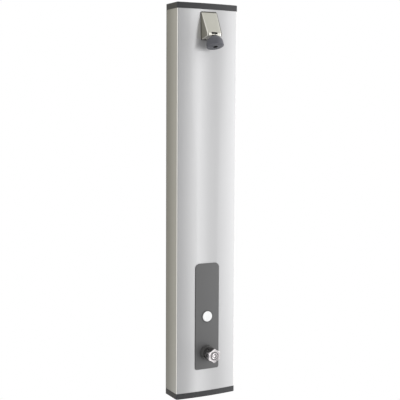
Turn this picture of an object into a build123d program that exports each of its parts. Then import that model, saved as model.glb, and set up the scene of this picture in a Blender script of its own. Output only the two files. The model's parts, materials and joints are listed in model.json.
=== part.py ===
from build123d import *
import os
from math import cos, radians, sin, sqrt, tan

os.makedirs("parts", exist_ok=True)

# A wall-mounted shower panel, in millimetres. The wall is the plane y = 0, the front faces -Y
# and up is +Z. The origin is the middle of the four wall fixings, on the wall.

# Casing and end caps
panel_height = 1200
panel_width = 203
side_depth = 74
front_bow = 6
casing_wall = 2
casing_lip = 10
corner_radius = 4
cap_height = 18
cap_wall = 3
cap_proud = 0.6
cap_edge_radius = 1.8
skirt_depth = 12
skirt_wall = 2
skirt_gap = 0.3
skirt_inset = 17
seal_thickness = 2
seal_width = 10
port_bore_radius = 1.95
port_wall = 2.5
port_inset = 4
port_slot = 2.4
cap_screw_radius = 1.9
cap_screw_head_radius = 3.8
cap_screw_length = 26
cap_screw_sink = 0.3
security_screw_radius = 2.4
security_head_radius = 4.6
security_head_height = 2.6
security_x = 40
security_y = -36
drain_slot_length = 22
drain_slot_width = 5
drain_pitch = 60

# Wall plate
sheet = 2
plate_side_gap = 1.5
flange_depth = 52
flange_drop = 5
fixing_spacing_x = 120
fixing_inset_z = 82
fixing_hole_radius = 3.5
fold_radius = 3

# Control plate
control_width = 82
control_height = 330
control_drop = 234
control_thickness = 2
control_top_radius = 15
control_bottom_radius = 6
control_edge_radius = 0.8
bedding = 0.15
stud_radius = 2
stud_length = 8
stud_inset_x = 9
stud_inset_z = 22
stud_hole_gap = 0.3
push_nut_radius = 5
push_nut_thickness = 1

# Push button
button_radius = 16
button_thickness = 3
button_crown = 0.6
button_proud = 0.6
button_gap = 0.3
button_travel = 2
button_stem_radius = 5
guide_gap = 0.06
bezel_radius = 17.6
bezel_flange_radius = 18.8
bezel_flange = 1.2
bezel_depth = 16
bezel_floor = 3
bezel_recess = 3
button_clip_radius = 7.4
button_clip_thickness = 1
switch_radius = 15
switch_length = 13
switch_recess_radius = 8.4
switch_recess = 3
switch_pin_radius = 1.5
bezel_nut_across = 42
bezel_nut_thickness = 5

# Temperature control
knob_drop = 113.5
knob_radius = 21.8
knob_lobes = 6
knob_lobe_radius = 6.5
knob_waist_radius = 18.6
knob_skirt_radius = 19.5
knob_skirt = 11
knob_length = 34
knob_gap = 0.8
knob_groove_outer = 16
knob_groove_inner = 14
knob_groove_depth = 1.2
knob_cap_radius = 9
knob_cap_thickness = 2.5
knob_cap_proud = 1.2
knob_screw_radius = 2
knob_screw_head_radius = 3.8
knob_screw_head = 3.5
knob_screw_length = 14
collar_radius = 23.5
collar_length = 13.5
collar_front = 2.7
collar_opening_radius = 12
bonnet_radius = 17
bonnet_end = 10
bonnet_spigot_radius = 14
bonnet_spigot = 8
bonnet_front = 8
thread_gap = 0.1
spindle_radius = 5
spindle_tip_radius = 4
spindle_tip = 21
spindle_flange_radius = 9
spindle_flange = 2.7
spindle_screw_radius = 6
spindle_screw = 15
slider_radius = 11
slider_length = 17
slider_floor = 3
slider_screw_gap = 0.15
slider_travel = 1.5
element_radius = 6.5
element_length = 32
element_flange_radius = 10
element_flange = 2.5
shuttle_radius = 13.8
shuttle_width = 4

# Mixing valve
mixer_radius = 22
mixer_front_y = -54
mixer_rear_y = -14
mixer_floor = 6
mixer_foot_x = 28
mixer_foot_z = 26
mixer_foot = 4
mixer_screw_x = 22
mixer_screw_z = 20
mixer_port_reach = 40
bracket_x = 33
bracket_foot = 13
bracket_half_height = 30
bracket_screw_z = 20

# Pipes and compression joints
pipe_y = -33
pipe_radius = 7.5
pipe_bore_radius = 6.8
pipe_bend_radius = 20
socket_gap = 0.1
socket_depth = 8
water_radius = 6
spigot_radius = 10
spigot_length = 12
nut_across = 24
nut_shoulder = 4
nut_cover = 10

# Inlets and isolating valves
inlet_x = 66
inlet_rise = 48
inlet_socket_depth = 22
inlet_tube_radius = 11
inlet_hole_gap = 0.6
inlet_flange = 4
inlet_flange_length = 50
inlet_flange_width = 26
inlet_screw_z = 18
valve_body_radius = 13
elbow_top = 13
elbow_chamfer = 1.5
elbow_drop = 18
isolator_length = 42
ball_radius = 9
ball_bore_radius = 5.5
ball_gap = 0.4
isolator_stem_radius = 3
isolator_boss_radius = 6
isolator_boss = 3
isolator_stem_proud = 2
screwdriver_slot = 1.2
spigot_fit = 0.1

# Solenoid valve
solenoid_rise = 73
solenoid_half_length = 28
solenoid_boss_radius = 16
solenoid_boss_y = -48
solenoid_chamber_radius = 11
solenoid_chamber = 7
seat_radius = 6.5
seat_bore_radius = 4
seat_height = 2
feed_offset = 8.4
feed_radius = 2.4
foot_radius = 9
armature_flange = 5
armature_tube_radius = 7
armature_bore_radius = 5.1
armature_length = 26
armature_end = 2
armature_recess_radius = 7
plunger_radius = 5
plunger_head_radius = 6.3
plunger_head = 2.3
plunger_length = 22
plunger_gap = 0.3
plunger_travel = 2.5
coil_width = 28
coil_length = 20

# Springs
button_spring_radius = 7.4
button_spring_wire = 0.5
plunger_spring_radius = 3.6
plunger_spring_wire = 0.4
mixer_spring_radius = 8
mixer_spring_wire = 0.6
spring_end_gap = 0.3

# Control box
box_side_gap = 2
box_width = 56
box_rise = 113
box_height = 120
box_depth = 38
box_wall = 2
box_corner_radius = 4
lid_thickness = 2
lid_screw_radius = 1.4
lid_screw_head_radius = 2.6
lid_screw_head = 1.8
lid_screw_length = 10
box_boss_radius = 4
box_boss_inset = 5
battery_gap = 4
battery_side_gap = 1
battery_depth = 26
battery_rear_gap = 4
board_width = 40
board_height = 40
board_thickness = 1.6
standoff_height = 9
standoff_radius = 3
box_screw_inset_z = 12
gland_radius = 4
gland_length = 4
cable_radius = 2
cable_straight = 15
cable_step = 12
button_gland_inset = 6
solenoid_gland_inset = 21
gland_y = -28

# Screws into the wall plate
screw_radius = 1.95
screw_head_radius = 3.5
screw_head_height = 2.5
screw_socket_radius = 1.7
screw_end_gap = 0.2
clip_count = 3
clip_low_gap = 127
clip_high_gap = 170
clip_width = 12
clip_ring = 3.5
clip_foot_x = 16
clip_foot = 6
clip_web = 8

# Shower head
hood_drop = 8
hood_height = 82
hood_top_width = 54
hood_lip_width = 49
hood_reach = 37.5
lip_drop = 64.5
lip_height = 8.5
hood_corner_radius = 5
hood_edge_radius = 2.5
hood_top_edge = 3
hood_rounding = 2
gasket_thickness = 0.8
gasket_proud = 1
head_inlet_drop = 44
head_inlet_depth = 14.2
head_gallery_radius = 3
head_nut_across = 32
head_nut_thickness = 6
head_hole_gap = 0.6
head_pin_radius = 2
head_pin_x = 18
head_pin_drop = 18
head_pin_length = 5
regulator_radius = 8
regulator_thickness = 5
regulator_orifice = 2.5
slot_width = 20
slot_height = 5.7
slot_depth = 3.5
slot_drop = 0.15

# Ball stub
ball_reach = 36.6
ball_drop = 6.7
stub_tilt = 26
joint_ball_radius = 6.5
joint_ball_gap = 0.2
neck_radius = 4
neck_gap = 0.4
neck_relief = 1
stub_radius = 5
stub_thread = 14
stub_bore_radius = 2
key_radius = 2.9
key_depth = 4.5

# Nozzle
nozzle_tilt = 20
nozzle_swing = 8
pocket_gap = 1.6
dome_radius = 25.9
dome_centre = 8
dome_wall = 3
dome_rim = 8.1
boss_radius = 10.5
boss_end = 11.5
retainer_radius = 7.95
retainer_gap = 0.05
retainer_floor = 3.5
ring_wire = 0.8
chamber_radius = 5
water_hole_radius = 1
water_hole_circle = 3.7
water_hole_count = 4
face_inset = 2.2
face_thickness = 3
face_gap = 0.1
face_sink = 0.4
face_crown = 1.6
spray_hole_radius = 0.9
spray_rings = ((0.4, 8), (0.61, 14), (0.82, 20))
nozzle_screw_radius = 1.8
nozzle_screw_head_radius = 3.6
nozzle_screw_head = 2
nozzle_screw_length = 5.5
nozzle_screw_sink = 1.2
nozzle_well_gap = 0.4

# Derived places
half_width = panel_width / 2
half_height = panel_height / 2
bow_radius = (half_width**2 + front_bow**2) / (2 * front_bow)
bow_centre_y = bow_radius - side_depth - front_bow
casing_rear = -seal_thickness
casing_end = half_height - cap_height
inner_half_width = half_width - casing_wall
chassis_half_width = inner_half_width - casing_lip - plate_side_gap
chassis_end = casing_end - flange_drop
chassis_front = -sheet
fixing_spacing_z = 2 * (casing_end - fixing_inset_z)
control_z = control_drop - casing_end
knob_z = control_z - knob_drop
inlet_z = control_z + inlet_rise
solenoid_z = control_z + solenoid_rise
box_z = control_z + box_rise
box_x = chassis_half_width - box_side_gap - box_width
button_gland_x = box_x + button_gland_inset
solenoid_gland_x = box_x + solenoid_gland_inset
hood_top_z = casing_end - hood_drop
hood_bottom_z = hood_top_z - hood_height
lip_top_z = hood_top_z - lip_drop
lip_bottom_z = lip_top_z - lip_height
head_inlet_z = hood_top_z - head_inlet_drop
head_pin_z = hood_top_z - head_pin_drop
ball_centre_y = -side_depth - front_bow - ball_reach
ball_centre_z = hood_bottom_z - ball_drop
slot_z = lip_top_z - slot_drop
clip_low_z = solenoid_z + solenoid_half_length + clip_low_gap
clip_high_z = head_inlet_z - clip_high_gap
clip_positions = [
    clip_low_z + (clip_high_z - clip_low_z) * step / (clip_count - 1) for step in range(clip_count)
]


def front_y(x, proud=0):
    """The bowed front's y at x, for a surface that lies proud of the casing."""
    return bow_centre_y - sqrt((bow_radius + proud) ** 2 - x**2)


port_x = inner_half_width - port_inset
port_points = [
    (side * port_x, y)
    for side in (-1, 1)
    for y in (front_y(port_x, -casing_wall) + port_inset, casing_rear - casing_wall - port_inset)
]
port_radius = port_bore_radius + port_wall
socket_radius = pipe_radius + socket_gap
control_face = front_y(0, bedding + control_thickness)
stud_points = [
    (side * (control_width / 2 - stud_inset_x), control_z + end * (control_height / 2 - stud_inset_z))
    for side in (-1, 1)
    for end in (-1, 1)
]


def panel_outline(inset, rear):
    """The casing's section, inset from its sides and front, closed along y = rear."""
    x = half_width - inset
    corner_y = front_y(x, -inset)
    Polyline((-x, corner_y), (-x, rear), (x, rear), (x, corner_y))
    ThreePointArc((x, corner_y), (0, front_y(0, -inset)), (-x, corner_y))


def turned(profile, x, z):
    """A solid turned about the line along Y through (x, z), from (radius, y) points."""
    with BuildPart() as piece:
        with BuildSketch(Plane((x, 0, z))):
            with BuildLine():
                Polyline(*profile, close=True)
            make_face()
        revolve(axis=Axis((x, 0, z), (0, 1, 0)))
    return piece.part


def upright(profile, x, y):
    """A solid turned about the vertical line through (x, y), from (radius, z) points."""
    with BuildPart() as piece:
        with BuildSketch(Plane((x, y, 0), x_dir=(1, 0, 0), z_dir=(0, -1, 0))):
            with BuildLine():
                Polyline(*profile, close=True)
            make_face()
        revolve(axis=Axis((x, y, 0), (0, 0, 1)))
    return piece.part


def screw(plane, shank_radius, shank_length, head_radius, head_height, socket_radius):
    """A screw with its head on the plane, pointing back through it, with a hexagon socket."""
    with BuildPart() as piece:
        with BuildSketch(plane):
            Circle(head_radius)
        extrude(amount=head_height)
        fillet(piece.edges().filter_by(GeomType.CIRCLE).sort_by(Axis(plane.origin, plane.z_dir))[-1],
               head_height / 3)
        with BuildSketch(plane.offset(head_height)):
            RegularPolygon(socket_radius, 6)
        extrude(amount=-head_height * 0.6, mode=Mode.SUBTRACT)
        with BuildSketch(plane):
            Circle(shank_radius)
        extrude(amount=-shank_length)
    return piece.part


def coil_spring(start, direction, length, radius, wire, turns):
    """A round-wire spring whose wire stays within the length along its axis."""
    centre = Vector(start) + Vector(direction) * wire
    height = length - 2 * wire
    with BuildPart() as piece:
        with BuildLine():
            wound = Helix(height / turns, height, radius, center=centre, direction=direction)
        with BuildSketch(Plane(origin=wound @ 0, z_dir=wound % 0)):
            Circle(wire)
        sweep(path=wound, is_frenet=True)
    return piece.part


def bend_radii(points):
    """The largest tangent arcs that a cable's runs allow, one for each inner point."""
    route = [Vector(*point) for point in points]
    radii = []
    for before, corner, after in zip(route, route[1:], route[2:]):
        arriving = corner - before
        leaving = after - corner
        half_turn = radians(arriving.get_angle(leaving)) / 2
        radii.append(0.45 * min(arriving.length, leaving.length) / tan(half_turn))
    return radii


def tube_along(points, radii, outer_radius, bore_radius=0):
    """A round tube or cable along straight runs joined by tangent arcs."""
    with BuildPart() as piece:
        with BuildLine():
            route = FilletPolyline(*points, radius=radii)
        with BuildSketch(Plane(origin=route @ 0, z_dir=route % 0)):
            Circle(outer_radius)
            if bore_radius:
                Circle(bore_radius, mode=Mode.SUBTRACT)
        sweep(path=route)
    return piece.part


# Front casing: one bowed extrusion, open to the wall, with four screw channels
control_holes = [
    (0, control_z, bezel_radius + 0.4),
    (0, knob_z, bonnet_radius + 0.6),
]
with BuildPart() as front_casing:
    with BuildSketch(Plane.XY.offset(-casing_end)) as casing_section:
        with BuildLine():
            panel_outline(0, casing_rear)
        make_face()
        fillet(casing_section.vertices().group_by(Axis.Y)[0], corner_radius)
        with BuildLine():
            panel_outline(casing_wall, casing_rear - casing_wall)
        make_face(mode=Mode.SUBTRACT)
        with Locations((0, casing_rear - casing_wall / 2)):
            Rectangle(2 * (inner_half_width - casing_lip), 2 * casing_wall, mode=Mode.SUBTRACT)
        with Locations(*port_points):
            Circle(port_radius)
        with Locations(*port_points):
            Circle(port_bore_radius, mode=Mode.SUBTRACT)
        for x, y in port_points:
            inward = -port_radius if x > 0 else port_radius
            with Locations((x + inward, y)):
                Rectangle(2 * port_radius, port_slot, mode=Mode.SUBTRACT)
    extrude(amount=2 * casing_end)
    with BuildSketch(Plane.XZ.offset(side_depth - casing_wall - port_radius)):
        for x, z, radius in control_holes:
            with Locations((x, z)):
                Circle(radius)
        with Locations(*stud_points):
            Circle(stud_radius + stud_hole_gap)
        with Locations((0, head_inlet_z)):
            Circle(spigot_radius + head_hole_gap)
        with Locations((-head_pin_x, head_pin_z), (head_pin_x, head_pin_z)):
            Circle(head_pin_radius + stud_hole_gap)
    extrude(amount=2 * (casing_wall + port_radius + front_bow), mode=Mode.SUBTRACT)

# End caps: a plate with a rim over the casing's end and a skirt inside it
with BuildPart() as top_end_cap:
    with BuildSketch(Plane.XY.offset(casing_end)) as cap_section:
        with BuildLine():
            panel_outline(-cap_proud, casing_rear)
        make_face()
        fillet(cap_section.vertices().group_by(Axis.Y)[0], corner_radius + cap_proud)
    extrude(amount=cap_height)
    fillet(top_end_cap.faces().sort_by(Axis.Z)[-1].edges(), cap_edge_radius)
    with BuildSketch(Plane.XY.offset(casing_end)):
        with BuildLine():
            panel_outline(cap_wall, casing_rear - cap_wall)
        make_face()
    extrude(amount=cap_height - cap_wall, mode=Mode.SUBTRACT)
    with BuildSketch(Plane.XY.offset(casing_end - skirt_depth)):
        with BuildLine():
            panel_outline(casing_wall + skirt_gap, -skirt_inset)
        make_face()
        with BuildLine():
            panel_outline(casing_wall + skirt_gap + skirt_wall, 0)
        make_face(mode=Mode.SUBTRACT)
        with Locations(*port_points):
            Circle(port_radius + skirt_gap, mode=Mode.SUBTRACT)
    extrude(amount=skirt_depth + cap_height - cap_wall)
    with BuildSketch(Plane.XY.offset(casing_end)):
        with Locations(*port_points):
            Circle(port_radius)
    extrude(amount=cap_height - cap_wall)
    with BuildSketch(Plane.XY.offset(chassis_end)):
        with Locations((-security_x, security_y), (security_x, security_y)):
            Circle(security_head_radius + skirt_wall)
    extrude(amount=half_height - cap_wall - chassis_end)
    with Locations(Plane.XY.offset(half_height)):
        with Locations(*port_points):
            CounterSinkHole(cap_screw_radius + stud_hole_gap, cap_screw_head_radius + stud_hole_gap,
                            depth=cap_height)
        with Locations((-security_x, security_y), (security_x, security_y)):
            CounterBoreHole(security_screw_radius + stud_hole_gap, security_head_radius + stud_hole_gap,
                            security_head_height + stud_hole_gap, depth=half_height - chassis_end)

with BuildPart() as bottom_end_cap:
    mirror(top_end_cap.part, about=Plane.XY)
    with BuildSketch(Plane.XY.offset(-half_height)):
        with Locations(*[(x, side_depth / -2) for x in (-drain_pitch, 0, drain_pitch)]):
            SlotOverall(drain_slot_length, drain_slot_width)
    extrude(amount=cap_wall, mode=Mode.SUBTRACT)

# The screws that hold the caps: four at each end into the casing's channels, two into the flanges
with BuildPart() as cap_screws:
    for end in (1, -1):
        for x, y in port_points:
            top = Plane((x, y, end * (half_height - cap_screw_sink)), z_dir=(0, 0, end))
            with BuildSketch(top):
                Circle(cap_screw_head_radius)
            extrude(amount=-(cap_screw_head_radius - cap_screw_radius), taper=45)
            with BuildSketch(top):
                Circle(cap_screw_radius)
            extrude(amount=-cap_screw_length)
            with BuildSketch(top):
                RegularPolygon(cap_screw_radius, 6)
            extrude(amount=-cap_screw_radius / 2, mode=Mode.SUBTRACT)
        seat = end * (half_height - security_head_height - stud_hole_gap)
        for x in (-security_x, security_x):
            add(screw(Plane((x, security_y, seat), z_dir=(0, 0, end)), security_screw_radius,
                      abs(seat) - chassis_end + 3 * sheet, security_head_radius,
                      security_head_height, security_screw_radius))

# Rubber seal between the casing's back edge and the wall
with BuildPart() as wall_seal:
    with BuildSketch(Plane.XZ):
        Rectangle(panel_width, panel_height)
        Rectangle(panel_width - 2 * seal_width, panel_height - 2 * seal_width, mode=Mode.SUBTRACT)
    extrude(amount=seal_thickness)

# Wall plate: folded sheet with an end flange at the top and the bottom
mixer_screw_points = [
    (side * mixer_screw_x, knob_z + end * mixer_screw_z) for side in (-1, 1) for end in (-1, 1)
]
bracket_screw_points = [
    (side * (bracket_x + bracket_foot / 2), knob_z + end * bracket_screw_z)
    for side in (-1, 1)
    for end in (-1, 1)
]
inlet_screw_points = [
    (side * inlet_x, inlet_z + end * inlet_screw_z) for side in (-1, 1) for end in (-1, 1)
]
clip_screw_points = [
    (side * (clip_foot_x - screw_head_radius - 1), z) for side in (-1, 1) for z in clip_positions
]
box_screw_points = [
    (box_x + box_width / 2, z)
    for z in (box_z + box_screw_inset_z, box_z + box_height - box_screw_inset_z)
]
with BuildPart() as chassis_plate:
    with BuildSketch(Plane.YZ.offset(-chassis_half_width)) as chassis_section:
        with BuildLine():
            Polyline(
                (0, -chassis_end),
                (0, chassis_end),
                (-flange_depth, chassis_end),
                (-flange_depth, chassis_end - sheet),
                (-sheet, chassis_end - sheet),
                (-sheet, sheet - chassis_end),
                (-flange_depth, sheet - chassis_end),
                (-flange_depth, -chassis_end),
                close=True,
            )
        make_face()
        fillet(chassis_section.vertices().group_by(Axis.X)[-1], fold_radius)
    extrude(amount=2 * chassis_half_width)
    with BuildSketch(Plane.XZ):
        with GridLocations(fixing_spacing_x, fixing_spacing_z, 2, 2):
            Circle(fixing_hole_radius)
        with Locations((-inlet_x, inlet_z), (inlet_x, inlet_z)):
            Circle(inlet_tube_radius + inlet_hole_gap)
        with Locations(*bracket_screw_points, *inlet_screw_points, *clip_screw_points,
                       *box_screw_points):
            Circle(screw_radius + socket_gap / 2)
    extrude(amount=sheet, mode=Mode.SUBTRACT)
    with BuildSketch(Plane.XY.offset(-half_height)):
        with Locations((-security_x, security_y), (security_x, security_y)):
            Circle(security_screw_radius + socket_gap / 2)
    extrude(amount=panel_height, mode=Mode.SUBTRACT)

# Bracket that stands the mixing valve off the wall plate
bracket_face = mixer_rear_y + sheet
with BuildPart() as valve_bracket:
    with BuildSketch(Plane.XY.offset(knob_z - bracket_half_height)):
        with BuildLine():
            Polyline(
                (-bracket_x - bracket_foot, chassis_front),
                (-bracket_x - bracket_foot, chassis_front - sheet),
                (-bracket_x - sheet, chassis_front - sheet),
                (-bracket_x - sheet, mixer_rear_y),
                (bracket_x + sheet, mixer_rear_y),
                (bracket_x + sheet, chassis_front - sheet),
                (bracket_x + bracket_foot, chassis_front - sheet),
                (bracket_x + bracket_foot, chassis_front),
                (bracket_x, chassis_front),
                (bracket_x, bracket_face),
                (-bracket_x, bracket_face),
                (-bracket_x, chassis_front),
                close=True,
            )
        make_face()
    extrude(amount=2 * bracket_half_height)
    with BuildSketch(Plane.XZ):
        with Locations(*bracket_screw_points, *mixer_screw_points):
            Circle(screw_radius + socket_gap / 2)
    extrude(amount=-mixer_rear_y, mode=Mode.SUBTRACT)

# Mixing valve body: a chamber along Y, hot and cold ports at its sides, the outlet on top
mixer_chamber_radius = bonnet_spigot_radius + thread_gap
with BuildPart() as mixer_body:
    add(turned([(0, mixer_rear_y), (mixer_radius, mixer_rear_y), (mixer_radius, mixer_front_y),
                (0, mixer_front_y)], 0, knob_z))
    with BuildSketch(Plane.XZ.offset(-mixer_rear_y)):
        with Locations((0, knob_z)):
            RectangleRounded(2 * mixer_foot_x, 2 * mixer_foot_z, corner_radius)
        with Locations(*mixer_screw_points):
            Circle(screw_radius + socket_gap / 2, mode=Mode.SUBTRACT)
    extrude(amount=mixer_foot)
    with BuildSketch(Plane.YZ.offset(-mixer_port_reach)):
        with Locations((pipe_y, knob_z)):
            Circle(spigot_radius)
    extrude(amount=2 * mixer_port_reach)
    with BuildSketch(Plane.XY.offset(knob_z)):
        with Locations((0, pipe_y)):
            Circle(spigot_radius)
    extrude(amount=mixer_port_reach)
    add(turned([(0, mixer_rear_y - mixer_floor), (mixer_chamber_radius, mixer_rear_y - mixer_floor),
                (mixer_chamber_radius, mixer_front_y), (0, mixer_front_y)], 0, knob_z),
        mode=Mode.SUBTRACT)
    with BuildSketch(Plane.YZ.offset(-mixer_port_reach)):
        with Locations((pipe_y, knob_z)):
            Circle(water_radius)
    extrude(amount=2 * mixer_port_reach, mode=Mode.SUBTRACT)
    for side in (-1, 1):
        with BuildSketch(Plane((side * mixer_port_reach, pipe_y, knob_z), z_dir=(side, 0, 0))):
            Circle(socket_radius)
        extrude(amount=-socket_depth, mode=Mode.SUBTRACT)
    add(upright([(0, knob_z), (water_radius, knob_z),
                 (water_radius, knob_z + mixer_port_reach - socket_depth),
                 (socket_radius, knob_z + mixer_port_reach - socket_depth),
                 (socket_radius, knob_z + mixer_port_reach), (0, knob_z + mixer_port_reach)],
                0, pipe_y), mode=Mode.SUBTRACT)

# Bonnet: screws into the mixing valve, guides the slider and carries the spindle
bonnet_nose = control_face - bonnet_end
bonnet_wall_y = bonnet_nose + bonnet_front
slider_bore_radius = slider_radius + thread_gap
spindle_bore_radius = spindle_radius + guide_gap
with BuildPart() as mixer_bonnet:
    add(turned([(spindle_bore_radius, bonnet_nose), (bonnet_radius, bonnet_nose),
                (bonnet_radius, mixer_front_y), (bonnet_spigot_radius, mixer_front_y),
                (bonnet_spigot_radius, mixer_front_y + bonnet_spigot),
                (slider_bore_radius, mixer_front_y + bonnet_spigot),
                (slider_bore_radius, bonnet_wall_y), (spindle_bore_radius, bonnet_wall_y)],
               0, knob_z))

# Spindle, with a flange behind the bonnet's wall and a coarse thread that drives the slider
knob_rear = control_face - bedding - collar_length - knob_gap
flange_y = bonnet_wall_y + spring_end_gap
thread_y = flange_y + spindle_flange
spindle_end = thread_y + spindle_screw
tip_y = knob_rear - spindle_tip
with BuildPart() as valve_spindle:
    add(turned([(0, tip_y), (spindle_tip_radius, tip_y), (spindle_tip_radius, knob_rear),
                (spindle_radius, knob_rear), (spindle_radius, flange_y),
                (spindle_flange_radius, flange_y), (spindle_flange_radius, thread_y),
                (spindle_screw_radius, thread_y), (spindle_screw_radius, spindle_end),
                (0, spindle_end)], 0, knob_z))
    with BuildSketch(Plane.XZ.offset(-tip_y)):
        with Locations((0, knob_z)):
            Circle(knob_screw_radius + socket_gap / 2)
    extrude(amount=-knob_screw_length, mode=Mode.SUBTRACT)

# Slider: a keyed nut that the spindle moves in and out
slider_front = thread_y + 2 * slider_travel + spring_end_gap
slider_rear = slider_front + slider_length
with BuildPart() as regulator_nut:
    add(turned([(spindle_screw_radius + slider_screw_gap, slider_front), (slider_radius, slider_front),
                (slider_radius, slider_rear), (0, slider_rear), (0, slider_rear - slider_floor),
                (spindle_screw_radius + slider_screw_gap, slider_rear - slider_floor)], 0, knob_z))

# Thermostatic element: a wax capsule with the shuttle that proportions hot and cold
element_rear = slider_rear + element_length
with BuildPart() as thermostatic_element:
    add(turned([(0, slider_rear), (element_radius, slider_rear), (element_radius, pipe_y - shuttle_width),
                (shuttle_radius, pipe_y - shuttle_width), (shuttle_radius, pipe_y),
                (element_radius, pipe_y), (element_radius, element_rear - element_flange),
                (element_flange_radius, element_rear - element_flange),
                (element_flange_radius, element_rear), (0, element_rear)], 0, knob_z))

with BuildPart() as mixer_spring:
    add(coil_spring((0, element_rear + spring_end_gap, knob_z), (0, 1, 0),
                    mixer_rear_y - mixer_floor - element_rear - 2 * spring_end_gap,
                    mixer_spring_radius, mixer_spring_wire, 3))

# Collar that covers the bonnet where it leaves the control plate
collar_rear = control_face - bedding
collar_nose = collar_rear - collar_length
with BuildPart() as knob_collar:
    add(turned([(bonnet_radius + thread_gap, collar_rear), (collar_radius, collar_rear),
                (collar_radius, collar_nose), (collar_opening_radius, collar_nose),
                (collar_opening_radius, collar_nose + collar_front),
                (bonnet_radius + thread_gap, collar_nose + collar_front)], 0, knob_z))
    collar_edges = knob_collar.edges().filter_by(
        lambda edge: edge.bounding_box().size.X > 2 * collar_radius - 0.1)
    chamfer(collar_edges.sort_by(Axis.Y)[0], 0.8)

# Temperature knob: a round skirt and a six-lobed grip with a stepped face
knob_face = knob_rear - knob_length
with BuildPart() as temperature_knob:
    with BuildSketch(Plane.XZ.offset(-knob_rear)):
        with Locations((0, knob_z)):
            Circle(knob_skirt_radius)
    extrude(amount=knob_skirt)
    with BuildSketch(Plane.XZ.offset(-knob_rear + knob_skirt)) as knob_section:
        with Locations((0, knob_z)):
            Circle(knob_waist_radius)
            with PolarLocations(knob_radius - knob_lobe_radius, knob_lobes, start_angle=30):
                Circle(knob_lobe_radius)
        fillet(knob_section.vertices(), knob_lobe_radius / 3)
    extrude(amount=knob_length - knob_skirt)
    chamfer(temperature_knob.faces().sort_by(Axis.Y)[0].edges(), 1.2)
    add(turned([(knob_groove_inner, knob_face), (knob_groove_outer, knob_face),
                (knob_groove_outer, knob_face + knob_groove_depth),
                (knob_groove_inner, knob_face + knob_groove_depth)], 0, knob_z), mode=Mode.SUBTRACT)
    cap_seat = knob_face + knob_cap_thickness - knob_cap_proud
    head_seat = tip_y - stud_hole_gap
    add(turned([(0, knob_face), (knob_cap_radius + socket_gap, knob_face),
                (knob_cap_radius + socket_gap, cap_seat),
                (knob_screw_head_radius + stud_hole_gap, cap_seat),
                (knob_screw_head_radius + stud_hole_gap, head_seat),
                (spindle_tip_radius + socket_gap / 2, head_seat),
                (spindle_tip_radius + socket_gap / 2, knob_rear), (0, knob_rear)], 0, knob_z),
        mode=Mode.SUBTRACT)

with BuildPart() as knob_screw:
    add(screw(Plane((0, tip_y, knob_z), z_dir=(0, -1, 0)), knob_screw_radius,
              knob_screw_length - screw_end_gap, knob_screw_head_radius, knob_screw_head,
              knob_screw_radius))

with BuildPart() as knob_cap:
    with BuildSketch(Plane.XZ.offset(-cap_seat)):
        with Locations((0, knob_z)):
            Circle(knob_cap_radius)
    extrude(amount=knob_cap_thickness)
    fillet(knob_cap.edges().sort_by(Axis.Y)[0], knob_cap_proud / 2)

# Control plate: bowed like the casing, with four studs through it
with BuildPart() as control_plate:
    with BuildSketch(Plane.XY.offset(control_z - control_height / 2)):
        with BuildLine():
            panel_outline(-bedding - control_thickness, casing_rear)
        make_face()
        with BuildLine():
            panel_outline(-bedding, casing_rear - casing_wall)
        make_face(mode=Mode.SUBTRACT)
    extrude(amount=control_height)
    with BuildSketch(Plane.XZ.offset(side_depth - casing_wall)) as control_outline:
        with Locations((0, control_z)):
            Rectangle(control_width, control_height)
        fillet(control_outline.vertices().group_by(Axis.Y)[-1], control_top_radius)
        fillet(control_outline.vertices().group_by(Axis.Y)[0], control_bottom_radius)
    extrude(amount=2 * side_depth, mode=Mode.INTERSECT)
    fillet(control_plate.faces().sort_by(Axis.Y)[0].edges(), control_edge_radius)
    with BuildSketch(Plane.XZ.offset(-front_y(0) - stud_length)):
        with Locations(*stud_points):
            Circle(stud_radius)
    extrude(amount=stud_length + control_thickness / 2)
    with BuildSketch(Plane.XZ.offset(side_depth)):
        for x, z, radius in control_holes:
            with Locations((x, z)):
                Circle(radius)
    extrude(amount=side_depth, mode=Mode.SUBTRACT)

with BuildPart() as plate_push_nuts:
    with BuildSketch(Plane.XZ.offset(-front_y(control_width / 2 - stud_inset_x + push_nut_radius,
                                              -casing_wall) - push_nut_thickness - socket_gap)):
        with Locations(*stud_points):
            Circle(push_nut_radius)
            Circle(stud_radius + socket_gap / 2, mode=Mode.SUBTRACT)
    extrude(amount=push_nut_thickness)

# Push button: bezel through the plate and casing, sprung cap, switch behind it
bezel_rear = control_face - bedding + bezel_depth
bezel_front = control_face - bedding - bezel_flange
floor_front = bezel_rear - bezel_recess - bezel_floor
well_radius = button_radius + button_gap
with BuildPart() as button_bezel:
    add(turned([(well_radius, bezel_front), (bezel_flange_radius, bezel_front),
                (bezel_flange_radius, bezel_front + bezel_flange),
                (bezel_radius, bezel_front + bezel_flange), (bezel_radius, bezel_rear),
                (switch_recess_radius, bezel_rear), (switch_recess_radius, floor_front + bezel_floor),
                (button_stem_radius + guide_gap, floor_front + bezel_floor),
                (button_stem_radius + guide_gap, floor_front), (well_radius, floor_front)],
               0, control_z))

with BuildPart() as bezel_back_nut:
    nut_front = front_y(bezel_nut_across / 2 / cos(radians(30)), -casing_wall) + socket_gap
    with BuildSketch(Plane.XZ.offset(-nut_front)):
        with Locations((0, control_z)):
            RegularPolygon(bezel_nut_across / 2, 6, major_radius=False)
            Circle(bezel_radius + thread_gap, mode=Mode.SUBTRACT)
    extrude(amount=-bezel_nut_thickness)

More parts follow.
